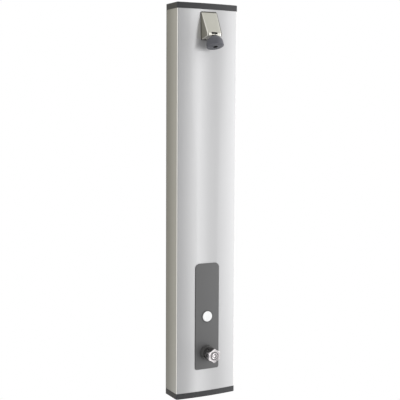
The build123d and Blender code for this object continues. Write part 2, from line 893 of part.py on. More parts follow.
cap_front = bezel_front - button_proud
cap_back = cap_front + button_thickness
clip_front = floor_front + bezel_floor + button_gap
stem_end = clip_front + button_clip_thickness + button_gap
with BuildPart() as button_cap:
    with BuildSketch(Plane((0, 0, control_z))):
        with BuildLine():
            Polyline((button_radius, cap_front), (button_radius, cap_back),
                     (button_stem_radius, cap_back), (button_stem_radius, stem_end),
                     (0, stem_end), (0, cap_front - button_crown))
            ThreePointArc((0, cap_front - button_crown),
                          (button_radius / 2, cap_front - button_crown * 0.75),
                          (button_radius, cap_front))
        make_face()
    revolve(axis=Axis((0, 0, control_z), (0, 1, 0)))
    rim_edges = button_cap.edges().filter_by(
        lambda edge: edge.bounding_box().size.X > 2 * button_radius - 0.1)
    fillet(rim_edges.sort_by(Axis.Y)[0], button_thickness / 4)

with BuildPart() as button_clip:
    add(turned([(button_stem_radius, clip_front), (button_clip_radius, clip_front),
                (button_clip_radius, clip_front + button_clip_thickness),
                (button_stem_radius, clip_front + button_clip_thickness)], 0, control_z))

with BuildPart() as button_spring:
    add(coil_spring((0, cap_back + spring_end_gap, control_z), (0, 1, 0),
                    floor_front - cap_back - 2 * spring_end_gap,
                    button_spring_radius, button_spring_wire, 4))

switch_rear = bezel_rear + switch_length
switch_floor = bezel_rear + switch_recess
pin_front = stem_end + button_travel + button_gap
switch_gland_y = bezel_rear + switch_length / 2
with BuildPart() as switch_block:
    add(turned([(0, pin_front), (switch_pin_radius, pin_front), (switch_pin_radius, switch_floor),
                (switch_recess_radius, switch_floor), (switch_recess_radius, bezel_rear),
                (switch_radius, bezel_rear), (switch_radius, switch_rear), (0, switch_rear)],
               0, control_z))
    with BuildSketch(Plane((0, switch_gland_y, control_z + switch_recess_radius))):
        Circle(cable_radius + 1)
    extrude(amount=switch_radius + gland_length - switch_recess_radius)

# Inlet elbows: a push-in socket open to the wall, turning down into an isolating valve
isolator_top = inlet_z - elbow_drop
ball_z = isolator_top - isolator_length / 2
isolator_bottom = isolator_top - isolator_length
cavity_radius = ball_radius + ball_gap
seat_plug_radius = cavity_radius - spigot_fit
seat_height_over_ball = sqrt(ball_radius**2 - water_radius**2) + ball_gap
pipe_top = isolator_bottom - spigot_length + socket_depth


def inlet_elbow(x):
    """An inlet elbow at x, with the plug on its outlet that keeps the valve's ball in place."""
    with BuildPart() as piece:
        add(turned([(0, 0), (inlet_tube_radius, 0), (inlet_tube_radius, pipe_y), (0, pipe_y)],
                   x, inlet_z))
        with BuildSketch(Plane.XZ.offset(sheet)):
            with Locations((x, inlet_z)):
                SlotOverall(inlet_flange_length, inlet_flange_width, rotation=90)
            with Locations((x, inlet_z - inlet_screw_z), (x, inlet_z + inlet_screw_z)):
                Circle(screw_radius + socket_gap / 2, mode=Mode.SUBTRACT)
        extrude(amount=inlet_flange)
        add(upright([(0, inlet_z + elbow_top), (valve_body_radius - elbow_chamfer, inlet_z + elbow_top),
                     (valve_body_radius, inlet_z + elbow_top - elbow_chamfer),
                     (valve_body_radius, isolator_top), (seat_plug_radius, isolator_top),
                     (seat_plug_radius, ball_z + seat_height_over_ball),
                     (0, ball_z + seat_height_over_ball)], x, pipe_y))
        add(turned([(0, 0), (socket_radius, 0), (socket_radius, -inlet_socket_depth),
                    (water_radius, -inlet_socket_depth), (water_radius, pipe_y), (0, pipe_y)],
                   x, inlet_z), mode=Mode.SUBTRACT)
        add(upright([(0, inlet_z), (water_radius, inlet_z),
                     (water_radius, ball_z + seat_height_over_ball),
                     (0, ball_z + seat_height_over_ball)], x, pipe_y), mode=Mode.SUBTRACT)
    return piece.part


def isolator_body(x):
    """The isolating valve's body at x, with a compression spigot below."""
    with BuildPart() as piece:
        add(upright([(0, isolator_top), (valve_body_radius, isolator_top),
                     (valve_body_radius, isolator_bottom), (spigot_radius, isolator_bottom),
                     (spigot_radius, isolator_bottom - spigot_length),
                     (0, isolator_bottom - spigot_length)], x, pipe_y))
        add(turned([(0, pipe_y), (isolator_boss_radius, pipe_y),
                    (isolator_boss_radius, pipe_y - valve_body_radius - isolator_boss),
                    (0, pipe_y - valve_body_radius - isolator_boss)], x, ball_z))
        with Locations((x, pipe_y, ball_z)):
            Sphere(cavity_radius, mode=Mode.SUBTRACT)
        add(upright([(0, isolator_top), (cavity_radius, isolator_top), (cavity_radius, ball_z),
                     (water_radius, ball_z), (water_radius, pipe_top), (socket_radius, pipe_top),
                     (socket_radius, isolator_bottom - spigot_length),
                     (0, isolator_bottom - spigot_length)], x, pipe_y), mode=Mode.SUBTRACT)
        add(turned([(0, pipe_y), (isolator_stem_radius + guide_gap, pipe_y),
                    (isolator_stem_radius + guide_gap, pipe_y - valve_body_radius - isolator_boss),
                    (0, pipe_y - valve_body_radius - isolator_boss)], x, ball_z), mode=Mode.SUBTRACT)
    return piece.part


def isolator_ball(x):
    """A bored ball at x with its stem, which ends in a screwdriver slot."""
    stem_front = pipe_y - valve_body_radius - isolator_boss - isolator_stem_proud
    with BuildPart() as piece:
        with Locations((x, pipe_y, ball_z)):
            Sphere(ball_radius)
        add(turned([(0, pipe_y), (isolator_stem_radius, pipe_y), (isolator_stem_radius, stem_front),
                    (0, stem_front)], x, ball_z))
        with BuildSketch(Plane((x, pipe_y, ball_z - ball_radius))):
            Circle(ball_bore_radius)
        extrude(amount=2 * ball_radius, mode=Mode.SUBTRACT)
        with BuildSketch(Plane.XZ.offset(-stem_front)):
            with Locations((x, ball_z)):
                Rectangle(screwdriver_slot, 3 * isolator_stem_radius)
        extrude(amount=-screwdriver_slot, mode=Mode.SUBTRACT)
    return piece.part


def supply_pipe(x):
    """The bent pipe from an isolating valve at x down and in to the mixing valve."""
    side = 1 if x > 0 else -1
    return tube_along([(x, pipe_y, pipe_top), (x, pipe_y, knob_z),
                       (side * (mixer_port_reach - socket_depth), pipe_y, knob_z)],
                      pipe_bend_radius, pipe_radius, pipe_bore_radius)


water_sides = {"hot": -inlet_x, "cold": inlet_x}
side_pieces = {}
for water, x in water_sides.items():
    side_pieces[water + "_inlet_elbow"] = inlet_elbow(x)
    side_pieces[water + "_isolator_body"] = isolator_body(x)
    side_pieces[water + "_isolator_ball"] = isolator_ball(x)
    side_pieces[water + "_supply_pipe"] = supply_pipe(x)

# Solenoid valve: in line with the riser, its plunger closing a seat from the front
solenoid_top = solenoid_z + solenoid_half_length
solenoid_bottom = solenoid_z - solenoid_half_length
chamber_floor = solenoid_boss_y + solenoid_chamber
seat_face = chamber_floor - seat_height
with BuildPart() as solenoid_body:
    add(upright([(0, solenoid_bottom - spigot_length), (spigot_radius, solenoid_bottom - spigot_length),
                 (spigot_radius, solenoid_bottom), (valve_body_radius, solenoid_bottom),
                 (valve_body_radius, solenoid_top), (spigot_radius, solenoid_top),
                 (spigot_radius, solenoid_top + spigot_length), (0, solenoid_top + spigot_length)],
                0, pipe_y))
    add(turned([(0, chassis_front), (foot_radius, chassis_front), (foot_radius, pipe_y),
                (solenoid_boss_radius, pipe_y), (solenoid_boss_radius, solenoid_boss_y),
                (0, solenoid_boss_y)], 0, solenoid_z))
    add(turned([(seat_radius, seat_face), (seat_radius, chamber_floor),
                (solenoid_chamber_radius, chamber_floor), (solenoid_chamber_radius, solenoid_boss_y),
                (0, solenoid_boss_y), (0, seat_face)], 0, solenoid_z), mode=Mode.SUBTRACT)
    add(turned([(0, pipe_y), (seat_bore_radius, pipe_y), (seat_bore_radius, seat_face),
                (0, seat_face)], 0, solenoid_z), mode=Mode.SUBTRACT)
    add(upright([(0, solenoid_z), (seat_bore_radius, solenoid_z),
                 (seat_bore_radius, solenoid_top), (water_radius, solenoid_top),
                 (water_radius, solenoid_top + spigot_length - socket_depth),
                 (socket_radius, solenoid_top + spigot_length - socket_depth),
                 (socket_radius, solenoid_top + spigot_length),
                 (0, solenoid_top + spigot_length)], 0, pipe_y), mode=Mode.SUBTRACT)
    add(upright([(0, solenoid_bottom - spigot_length), (socket_radius, solenoid_bottom - spigot_length),
                 (socket_radius, solenoid_bottom - spigot_length + socket_depth),
                 (water_radius, solenoid_bottom - spigot_length + socket_depth),
                 (water_radius, solenoid_bottom), (seat_bore_radius, solenoid_bottom),
                 (seat_bore_radius, solenoid_z - feed_offset),
                 (0, solenoid_z - feed_offset)], 0, pipe_y), mode=Mode.SUBTRACT)
    add(turned([(0, pipe_y), (feed_radius, pipe_y), (feed_radius, chamber_floor),
                (0, chamber_floor)], 0, solenoid_z - feed_offset), mode=Mode.SUBTRACT)

armature_rear = solenoid_boss_y
armature_recess = plunger_travel + plunger_gap
armature_front = armature_rear - armature_length
with BuildPart() as armature_tube:
    add(turned([(armature_recess_radius, armature_rear), (solenoid_boss_radius, armature_rear),
                (solenoid_boss_radius, armature_rear - armature_flange),
                (armature_tube_radius, armature_rear - armature_flange),
                (armature_tube_radius, armature_front), (0, armature_front),
                (0, armature_front + armature_end), (armature_bore_radius, armature_front + armature_end),
                (armature_bore_radius, armature_rear - armature_recess),
                (armature_recess_radius, armature_rear - armature_recess)], 0, solenoid_z))

plunger_rear = seat_face - plunger_gap
plunger_front = plunger_rear - plunger_length
with BuildPart() as solenoid_plunger:
    add(turned([(0, plunger_rear), (plunger_head_radius, plunger_rear),
                (plunger_head_radius, plunger_rear - plunger_head),
                (plunger_radius, plunger_rear - plunger_head), (plunger_radius, plunger_front),
                (0, plunger_front)], 0, solenoid_z))

with BuildPart() as plunger_spring:
    add(coil_spring((0, armature_front + armature_end + spring_end_gap, solenoid_z), (0, 1, 0),
                    plunger_front - armature_front - armature_end - 2 * spring_end_gap,
                    plunger_spring_radius, plunger_spring_wire, 4))

coil_rear = armature_rear - armature_flange - socket_gap
with BuildPart() as solenoid_coil:
    with BuildSketch(Plane.XZ.offset(-coil_rear)):
        with Locations((0, solenoid_z)):
            RectangleRounded(coil_width, coil_width, corner_radius)
            Circle(armature_tube_radius + socket_gap / 2, mode=Mode.SUBTRACT)
    extrude(amount=coil_length)

# Link pipe and riser, both straight
link_bottom = knob_z + mixer_port_reach - socket_depth
link_top = solenoid_bottom - spigot_length + socket_depth
riser_bottom = solenoid_top + spigot_length - socket_depth
head_elbow_bottom = head_inlet_z - valve_body_radius - 2
riser_top = head_elbow_bottom - spigot_length + socket_depth
with BuildPart() as mixed_link_pipe:
    with BuildSketch(Plane.XY.offset(link_bottom)):
        with Locations((0, pipe_y)):
            Circle(pipe_radius)
            Circle(pipe_bore_radius, mode=Mode.SUBTRACT)
    extrude(amount=link_top - link_bottom)

with BuildPart() as riser_pipe:
    with BuildSketch(Plane.XY.offset(riser_bottom)):
        with Locations((0, pipe_y)):
            Circle(pipe_radius)
            Circle(pipe_bore_radius, mode=Mode.SUBTRACT)
    extrude(amount=riser_top - riser_bottom)

with BuildPart() as pipe_clips:
    for z in clip_positions:
        with BuildSketch(Plane.XY.offset(z - clip_width / 2)):
            with Locations((0, chassis_front - clip_foot / 2)):
                Rectangle(2 * clip_foot_x, clip_foot)
            with Locations((0, (chassis_front + pipe_y) / 2)):
                Rectangle(clip_web, chassis_front - pipe_y)
            with Locations((0, pipe_y)):
                Circle(pipe_radius + clip_ring)
                Circle(socket_radius, mode=Mode.SUBTRACT)
        extrude(amount=clip_width)
    with BuildSketch(Plane.XZ):
        with Locations(*clip_screw_points):
            Circle(screw_radius + socket_gap / 2)
    extrude(amount=sheet + clip_foot, mode=Mode.SUBTRACT)

# Compression nuts, each over a spigot with its shoulder round the pipe
spigot_ends = [
    Plane((-inlet_x, pipe_y, isolator_bottom - spigot_length), z_dir=(0, 0, -1)),
    Plane((inlet_x, pipe_y, isolator_bottom - spigot_length), z_dir=(0, 0, -1)),
    Plane((-mixer_port_reach, pipe_y, knob_z), z_dir=(-1, 0, 0)),
    Plane((mixer_port_reach, pipe_y, knob_z), z_dir=(1, 0, 0)),
    Plane((0, pipe_y, knob_z + mixer_port_reach), z_dir=(0, 0, 1)),
    Plane((0, pipe_y, solenoid_bottom - spigot_length), z_dir=(0, 0, -1)),
    Plane((0, pipe_y, solenoid_top + spigot_length), z_dir=(0, 0, 1)),
    Plane((0, pipe_y, head_elbow_bottom - spigot_length), z_dir=(0, 0, -1)),
]
with BuildPart() as compression_nuts:
    for end in spigot_ends:
        with BuildSketch(end):
            RegularPolygon(nut_across / 2, 6, major_radius=False)
            Circle(socket_radius, mode=Mode.SUBTRACT)
        extrude(amount=nut_shoulder)
        with BuildSketch(end):
            RegularPolygon(nut_across / 2, 6, major_radius=False)
            Circle(spigot_radius + thread_gap, mode=Mode.SUBTRACT)
        extrude(amount=-nut_cover)

# Control box with its lid, circuit board and battery pack
box_points = [
    (box_x + box_width / 2 + side * (box_width / 2 - box_boss_inset),
     box_z + box_height / 2 + end * (box_height / 2 - box_boss_inset))
    for side in (-1, 1)
    for end in (-1, 1)
]
box_centre = (box_x + box_width / 2, box_z + box_height / 2)
box_front = chassis_front - box_depth
box_floor_y = chassis_front - box_wall
board_z = box_z + box_height - box_wall - 2 * box_boss_inset - board_height / 2
standoff_points = [
    (box_centre[0] + side * (board_width / 2 - standoff_radius),
     board_z + end * (board_height / 2 - standoff_radius))
    for side in (-1, 1)
    for end in (-1, 1)
]
with BuildPart() as control_box:
    with BuildSketch(Plane.XZ.offset(-chassis_front)):
        with Locations(box_centre):
            RectangleRounded(box_width, box_height, box_corner_radius)
    extrude(amount=box_depth)
    with BuildSketch(Plane.XZ.offset(-box_floor_y)):
        with Locations(box_centre):
            RectangleRounded(box_width - 2 * box_wall, box_height - 2 * box_wall,
                             box_corner_radius - box_wall)
    extrude(amount=box_depth, mode=Mode.SUBTRACT)
    with BuildSketch(Plane.XZ.offset(-chassis_front)):
        with Locations(*box_points):
            Circle(box_boss_radius)
    extrude(amount=box_depth)
    with BuildSketch(Plane.XZ.offset(-box_floor_y)):
        with Locations(*standoff_points):
            Circle(standoff_radius)
    extrude(amount=standoff_height)
    with BuildSketch(Plane.XZ.offset(-box_front)):
        with Locations(*box_points):
            Circle(lid_screw_radius + socket_gap / 2)
    extrude(amount=-lid_screw_length, mode=Mode.SUBTRACT)
    with BuildSketch(Plane.XZ.offset(-chassis_front)):
        with Locations(*box_screw_points):
            Circle(screw_radius + socket_gap / 2)
    extrude(amount=box_wall, mode=Mode.SUBTRACT)
    with BuildSketch(Plane.XY.offset(box_z)):
        with Locations((button_gland_x, gland_y), (solenoid_gland_x, gland_y)):
            Circle(gland_radius)
    extrude(amount=-gland_length)

with BuildPart() as control_box_lid:
    with BuildSketch(Plane.XZ.offset(-box_front)):
        with Locations(box_centre):
            RectangleRounded(box_width, box_height, box_corner_radius)
        with Locations(*box_points):
            Circle(lid_screw_radius + stud_hole_gap, mode=Mode.SUBTRACT)
    extrude(amount=lid_thickness)

with BuildPart() as control_board:
    with BuildSketch(Plane.XZ.offset(-box_floor_y + standoff_height)):
        with Locations((box_centre[0], board_z)):
            Rectangle(board_width, board_height)
    extrude(amount=board_thickness)
    with BuildSketch(Plane.XZ.offset(-box_floor_y + standoff_height + board_thickness)):
        with Locations((box_centre[0], board_z)):
            with GridLocations(board_width / 2, board_height / 2, 2, 2):
                Rectangle(board_width / 4, board_height / 5)
    extrude(amount=3 * board_thickness)

battery_floor_z = box_z + box_wall
battery_height = board_z - board_height / 2 - battery_gap - battery_floor_z
with BuildPart() as battery_pack:
    with BuildSketch(Plane.XZ.offset(-box_floor_y + battery_rear_gap)):
        with Locations((box_centre[0], battery_floor_z + battery_height / 2)):
            Rectangle(box_width - 2 * (box_boss_inset + box_boss_radius + battery_side_gap),
                      battery_height)
    extrude(amount=battery_depth)
    fillet(battery_pack.edges().filter_by(Axis.Z), battery_depth / 4)

# The two leads into the box
switch_top = control_z + switch_radius + gland_length
button_route = [
    (0, switch_gland_y, switch_top),
    (0, switch_gland_y, switch_top + cable_straight),
    (button_gland_x - cable_step, gland_y - 1.5 * cable_step, inlet_z - cable_radius),
    (button_gland_x, gland_y, solenoid_z),
    (button_gland_x, gland_y, box_z - gland_length),
]
coil_gland_y = coil_rear - coil_length / 2
solenoid_route = [
    (coil_width / 2, coil_gland_y, solenoid_z),
    (coil_width / 2 + cable_straight, coil_gland_y, solenoid_z),
    (solenoid_gland_x - cable_radius, gland_y - 1.5 * cable_step, solenoid_z + 4 * cable_radius),
    (solenoid_gland_x, gland_y, box_z - gland_length - cable_straight),
    (solenoid_gland_x, gland_y, box_z - gland_length),
]
with BuildPart() as button_cable:
    add(tube_along(button_route, bend_radii(button_route), cable_radius))
with BuildPart() as solenoid_cable:
    add(tube_along(solenoid_route, bend_radii(solenoid_route), cable_radius))

# Screws that hold the inner pieces, each with the thickness it passes through
with BuildPart() as inner_screws:
    for points, face_y, grip in (
        (bracket_screw_points, chassis_front - sheet, 2 * sheet),
        (mixer_screw_points, mixer_rear_y - mixer_foot, mixer_foot + sheet),
        (inlet_screw_points, chassis_front - inlet_flange, inlet_flange + sheet),
        (clip_screw_points, chassis_front - clip_foot, clip_foot + sheet),
        (box_screw_points, chassis_front - box_wall, box_wall + sheet),
    ):
        for x, z in points:
            add(screw(Plane((x, face_y, z), z_dir=(0, -1, 0)), screw_radius, grip - screw_end_gap,
                      screw_head_radius, screw_head_height, screw_socket_radius))
    for x, z in box_points:
        add(screw(Plane((x, box_front - lid_thickness, z), z_dir=(0, -1, 0)), lid_screw_radius,
                  lid_thickness + lid_screw_length - screw_end_gap, lid_screw_head_radius,
                  lid_screw_head, lid_screw_radius))

# Head elbow: turns the riser forward through the casing into the shower head
spigot_nose = front_y(0, gasket_thickness) - head_inlet_depth + screw_end_gap
with BuildPart() as head_elbow:
    add(upright([(0, head_inlet_z + elbow_top),
                 (valve_body_radius - elbow_chamfer, head_inlet_z + elbow_top),
                 (valve_body_radius, head_inlet_z + elbow_top - elbow_chamfer),
                 (valve_body_radius, head_elbow_bottom), (spigot_radius, head_elbow_bottom),
                 (spigot_radius, head_elbow_bottom - spigot_length),
                 (0, head_elbow_bottom - spigot_length)], 0, pipe_y))
    add(turned([(0, chassis_front), (foot_radius, chassis_front), (foot_radius, pipe_y),
                (spigot_radius, pipe_y), (spigot_radius, spigot_nose), (0, spigot_nose)],
               0, head_inlet_z))
    add(upright([(0, head_inlet_z), (water_radius, head_inlet_z), (water_radius, riser_top),
                 (socket_radius, riser_top), (socket_radius, head_elbow_bottom - spigot_length),
                 (0, head_elbow_bottom - spigot_length)], 0, pipe_y), mode=Mode.SUBTRACT)
    add(turned([(0, pipe_y), (water_radius, pipe_y),
                (water_radius, spigot_nose + regulator_thickness),
                (regulator_radius, spigot_nose + regulator_thickness),
                (regulator_radius, spigot_nose), (0, spigot_nose)], 0, head_inlet_z),
        mode=Mode.SUBTRACT)

with BuildPart() as flow_regulator:
    add(turned([(regulator_orifice, spigot_nose), (regulator_radius - socket_gap / 2, spigot_nose),
                (regulator_radius - socket_gap / 2, spigot_nose + regulator_thickness),
                (regulator_orifice, spigot_nose + regulator_thickness)], 0, head_inlet_z))

with BuildPart() as head_back_nut:
    head_nut_front = front_y(head_nut_across / 2 / cos(radians(30)), -casing_wall) + socket_gap
    with BuildSketch(Plane.XZ.offset(-head_nut_front)):
        with Locations((0, head_inlet_z)):
            RegularPolygon(head_nut_across / 2, 6, major_radius=False)
            Circle(spigot_radius + thread_gap, mode=Mode.SUBTRACT)
    extrude(amount=-head_nut_thickness)


# Shower head: a wedge-shaped hood with a round pocket in its underside for the nozzle's dome
def hood_outline(inset):
    """The hood seen from the front: a little narrower at its lip, with rounded corners."""
    top = hood_top_width / 2 - inset
    low = hood_lip_width / 2 - inset
    with BuildSketch(Plane.XZ.offset(side_depth / 2)) as outline:
        with BuildLine():
            Polyline((-top, hood_top_z - inset), (top, hood_top_z - inset),
                     (low, hood_bottom_z + inset), (-low, hood_bottom_z + inset), close=True)
        make_face()
        fillet(outline.vertices().group_by(Axis.Y)[-1], hood_corner_radius)
        fillet(outline.vertices().group_by(Axis.Y)[0], hood_edge_radius)
    return outline.sketch


ball_centre = Vector(0, ball_centre_y, ball_centre_z)


def tilted_plane(tilt, side):
    """A plane at the joint ball's centre, tilted outward from the wall: facing up (1) or down (-1)."""
    facing = (0, side * sin(radians(tilt)), side * cos(radians(tilt)))
    return Plane(ball_centre, x_dir=(1, 0, 0), z_dir=facing)


stub_plane = tilted_plane(stub_tilt, 1)
nozzle_plane = tilted_plane(nozzle_tilt, -1)
stub_lean = radians(stub_tilt - nozzle_tilt)
pocket_radius = dome_radius + pocket_gap
pocket_reach = sqrt(pocket_radius**2 - (dome_centre * sin(stub_lean)) ** 2) - dome_centre * cos(stub_lean)
thread_start = pocket_reach + neck_relief
along = (Align.CENTER, Align.CENTER, Align.MIN)
hood_lip_y = front_y(0) - hood_reach
with BuildPart() as head_body:
    with BuildSketch(Plane.YZ.offset(-hood_top_width / 2)):
        with BuildLine():
            Polyline((front_y(0) - hood_top_edge, hood_top_z), (hood_lip_y, lip_top_z),
                     (hood_lip_y, lip_bottom_z), (front_y(0), hood_bottom_z),
                     (-side_depth / 2, hood_bottom_z), (-side_depth / 2, hood_top_z), close=True)
        make_face()
    extrude(amount=hood_top_width)
    extrude(hood_outline(0), amount=2 * side_depth, mode=Mode.INTERSECT)
    with BuildSketch(Plane.XY.offset(hood_bottom_z - 1)):
        with BuildLine():
            panel_outline(-gasket_thickness, 0)
        make_face()
    extrude(amount=hood_top_z - hood_bottom_z + 2, mode=Mode.SUBTRACT)
    outer_edges = head_body.edges().filter_by(
        lambda edge: edge.center().Y < front_y(0) - 2 * hood_top_edge)
    fillet(outer_edges, hood_rounding)
    with BuildSketch(Plane.XZ.offset(-front_y(0) - head_pin_length)):
        with Locations((-head_pin_x, head_pin_z), (head_pin_x, head_pin_z)):
            Circle(head_pin_radius)
    extrude(amount=2 * head_pin_length)
    inlet_end = spigot_nose - screw_end_gap
    add(turned([(0, pipe_y), (spigot_radius + thread_gap, pipe_y),
                (spigot_radius + thread_gap, inlet_end), (0, inlet_end)], 0, head_inlet_z),
        mode=Mode.SUBTRACT)
    gallery_end = (inlet_end - ball_centre_y + head_gallery_radius * cos(radians(stub_tilt))) / sin(
        radians(stub_tilt))
    with Locations(stub_plane):
        Cylinder(head_gallery_radius, gallery_end, align=along, mode=Mode.SUBTRACT)
        Cylinder(stub_radius + thread_gap, thread_start + stub_thread + screw_end_gap, align=along,
                 mode=Mode.SUBTRACT)
    with Locations(nozzle_plane.offset(dome_centre)):
        Sphere(pocket_radius, mode=Mode.SUBTRACT)
    with BuildSketch(Plane.XZ.offset(-hood_lip_y - slot_depth)):
        with Locations((0, slot_z)):
            RectangleRounded(slot_width, slot_height, slot_height / 4)
    extrude(amount=2 * slot_depth, mode=Mode.SUBTRACT)

with BuildPart() as head_gasket:
    with BuildSketch(Plane.XY.offset(hood_bottom_z - gasket_proud)):
        with BuildLine():
            panel_outline(-gasket_thickness, 0)
        make_face()
        with BuildLine():
            panel_outline(-bedding, -casing_wall)
        make_face(mode=Mode.SUBTRACT)
    extrude(amount=hood_top_z - hood_bottom_z + 2 * gasket_proud)
    extrude(hood_outline(-gasket_proud), amount=2 * side_depth, mode=Mode.INTERSECT)
    with BuildSketch(Plane.XZ.offset(side_depth)):
        with Locations((0, head_inlet_z)):
            Circle(spigot_radius + head_hole_gap)
        with Locations((-head_pin_x, head_pin_z), (head_pin_x, head_pin_z)):
            Circle(head_pin_radius + socket_gap)
    extrude(amount=side_depth, mode=Mode.SUBTRACT)

# Ball stub: screwed up into the hood with a key through its ball, bored for the water
with BuildPart() as ball_stub:
    with Locations(stub_plane):
        Sphere(joint_ball_radius)
        Cylinder(neck_radius, thread_start, align=along)
        with Locations((0, 0, thread_start)):
            Cylinder(stub_radius, stub_thread, align=along)
        with Locations((0, 0, -joint_ball_radius)):
            Cylinder(stub_bore_radius, joint_ball_radius + thread_start + stub_thread, align=along,
                     mode=Mode.SUBTRACT)
    with BuildSketch(stub_plane.offset(-joint_ball_radius)):
        RegularPolygon(key_radius, 6)
    extrude(amount=key_depth, mode=Mode.SUBTRACT)

# Nozzle dome: a boss inside it seats the ball, and a cone above the seat lets the neck swing
neck_swing = radians(abs(stub_tilt - nozzle_tilt) + nozzle_swing)
opening_start = neck_radius / cos(neck_swing) + neck_gap
opening_length = dome_radius - dome_centre + pocket_gap
face_radius = dome_radius - face_inset
face_seat = dome_centre + dome_rim - face_sink - face_thickness
with BuildPart() as nozzle_dome:
    with Locations(nozzle_plane):
        with Locations((0, 0, dome_centre)):
            Sphere(dome_radius)
            Cylinder(dome_radius + 1, dome_radius + 1, align=along, mode=Mode.SUBTRACT)
            Cylinder(dome_radius, dome_rim, align=along)
            Sphere(dome_radius - dome_wall, mode=Mode.SUBTRACT)
            Cylinder(dome_radius - dome_wall, dome_rim, align=along, mode=Mode.SUBTRACT)
        with Locations((0, 0, boss_end)):
            Cylinder(boss_radius, boss_end + dome_radius - dome_centre - dome_wall,
                     align=(Align.CENTER, Align.CENTER, Align.MAX))
        Sphere(joint_ball_radius + joint_ball_gap, mode=Mode.SUBTRACT)
        Cylinder(retainer_radius + retainer_gap, boss_end, align=along, mode=Mode.SUBTRACT)
        Cone(opening_start + opening_length * tan(neck_swing), opening_start, opening_length,
             align=(Align.CENTER, Align.CENTER, Align.MAX), mode=Mode.SUBTRACT)
        with Locations((0, 0, face_seat)):
            Cylinder(face_radius + face_gap, face_thickness + face_sink, align=along,
                     mode=Mode.SUBTRACT)

# Retainer: screws into the boss behind the ball, with a sealing ring between them
ring_radius = retainer_radius - ring_wire
ring_drop = sqrt((joint_ball_radius + joint_ball_gap + ring_wire) ** 2 - ring_radius**2)
with BuildPart() as nozzle_seal:
    with Locations(nozzle_plane.offset(ring_drop)):
        Torus(ring_radius, ring_wire)

with BuildPart() as ball_retainer:
    with Locations(nozzle_plane):
        with Locations((0, 0, boss_end)):
            Cylinder(retainer_radius, boss_end - ring_drop - ring_wire,
                     align=(Align.CENTER, Align.CENTER, Align.MAX))
        Sphere(joint_ball_radius + joint_ball_gap, mode=Mode.SUBTRACT)
        Cylinder(chamber_radius, boss_end - retainer_floor, align=along, mode=Mode.SUBTRACT)
        Cylinder(nozzle_screw_radius + socket_gap / 2, boss_end, align=along, mode=Mode.SUBTRACT)
        with PolarLocations(water_hole_circle, water_hole_count):
            Cylinder(water_hole_radius, boss_end, align=along, mode=Mode.SUBTRACT)

# Spray face: a domed disc drilled in rings, its screw sunk in a well
with BuildPart() as nozzle_face:
    with Locations(nozzle_plane):
        with Locations((0, 0, face_seat)):
            Cylinder(face_radius, face_thickness + face_crown, align=along)
        crown_radius = (face_radius**2 + face_crown**2) / (2 * face_crown)
        with Locations((0, 0, face_seat + face_thickness + face_crown - crown_radius)):
            Sphere(crown_radius, mode=Mode.INTERSECT)
        for share, count in spray_rings:
            with Locations((0, 0, face_seat)):
                with PolarLocations(share * face_radius, count):
                    Cylinder(spray_hole_radius, face_thickness + face_crown, align=along,
                             mode=Mode.SUBTRACT)
        with Locations((0, 0, face_seat)):
            Cylinder(nozzle_screw_radius + socket_gap, face_thickness, align=along, mode=Mode.SUBTRACT)
        with Locations((0, 0, face_seat + nozzle_screw_sink)):
            Cylinder(nozzle_screw_head_radius + nozzle_well_gap, face_thickness + face_crown, align=along,
                     mode=Mode.SUBTRACT)

with BuildPart() as nozzle_screw:
    add(screw(nozzle_plane.offset(face_seat + nozzle_screw_sink), nozzle_screw_radius,
              nozzle_screw_length, nozzle_screw_head_radius, nozzle_screw_head, nozzle_screw_radius))

pieces = {
    "front_casing": front_casing.part,
    "top_end_cap": top_end_cap.part,
    "bottom_end_cap": bottom_end_cap.part,
    "cap_screws": cap_screws.part,
    "wall_seal": wall_seal.part,
    "chassis_plate": chassis_plate.part,
    "valve_bracket": valve_bracket.part,
    "mixer_body": mixer_body.part,
    "mixer_bonnet": mixer_bonnet.part,
    "valve_spindle": valve_spindle.part,
    "regulator_nut": regulator_nut.part,
    "thermostatic_element": thermostatic_element.part,
    "mixer_spring": mixer_spring.part,
    "knob_collar": knob_collar.part,
    "temperature_knob": temperature_knob.part,
    "knob_screw": knob_screw.part,
    "knob_cap": knob_cap.part,
    "control_plate": control_plate.part,
    "plate_push_nuts": plate_push_nuts.part,
    "button_bezel": button_bezel.part,
    "bezel_back_nut": bezel_back_nut.part,
    "button_cap": button_cap.part,
    "button_clip": button_clip.part,
    "button_spring": button_spring.part,
    "switch_block": switch_block.part,
    "solenoid_body": solenoid_body.part,
    "armature_tube": armature_tube.part,
    "solenoid_plunger": solenoid_plunger.part,
    "plunger_spring": plunger_spring.part,
    "solenoid_coil": solenoid_coil.part,
    "mixed_link_pipe": mixed_link_pipe.part,
    "riser_pipe": riser_pipe.part,
    "pipe_clips": pipe_clips.part,
    "compression_nuts": compression_nuts.part,
    "control_box": control_box.part,
    "control_box_lid": control_box_lid.part,
    "control_board": control_board.part,
    "battery_pack": battery_pack.part,
    "button_cable": button_cable.part,
    "solenoid_cable": solenoid_cable.part,
    "inner_screws": inner_screws.part,
    "head_elbow": head_elbow.part,
    "flow_regulator": flow_regulator.part,
    "head_back_nut": head_back_nut.part,
    "head_body": head_body.part,
    "head_gasket": head_gasket.part,
    "ball_stub": ball_stub.part,
    "nozzle_dome": nozzle_dome.part,
    "nozzle_seal": nozzle_seal.part,
    "ball_retainer": ball_retainer.part,
    "nozzle_face": nozzle_face.part,
    "nozzle_screw": nozzle_screw.part,
}
pieces.update(side_pieces)
for name, piece in pieces.items():
    piece.label = name
    export_step(piece, "parts/" + name + ".step")
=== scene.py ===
import json
from math import atan2, cos, degrees, exp, hypot, log, pi, radians, sin, sqrt, tan

import bmesh
import bpy
from mathutils import Matrix, Quaternion, Vector


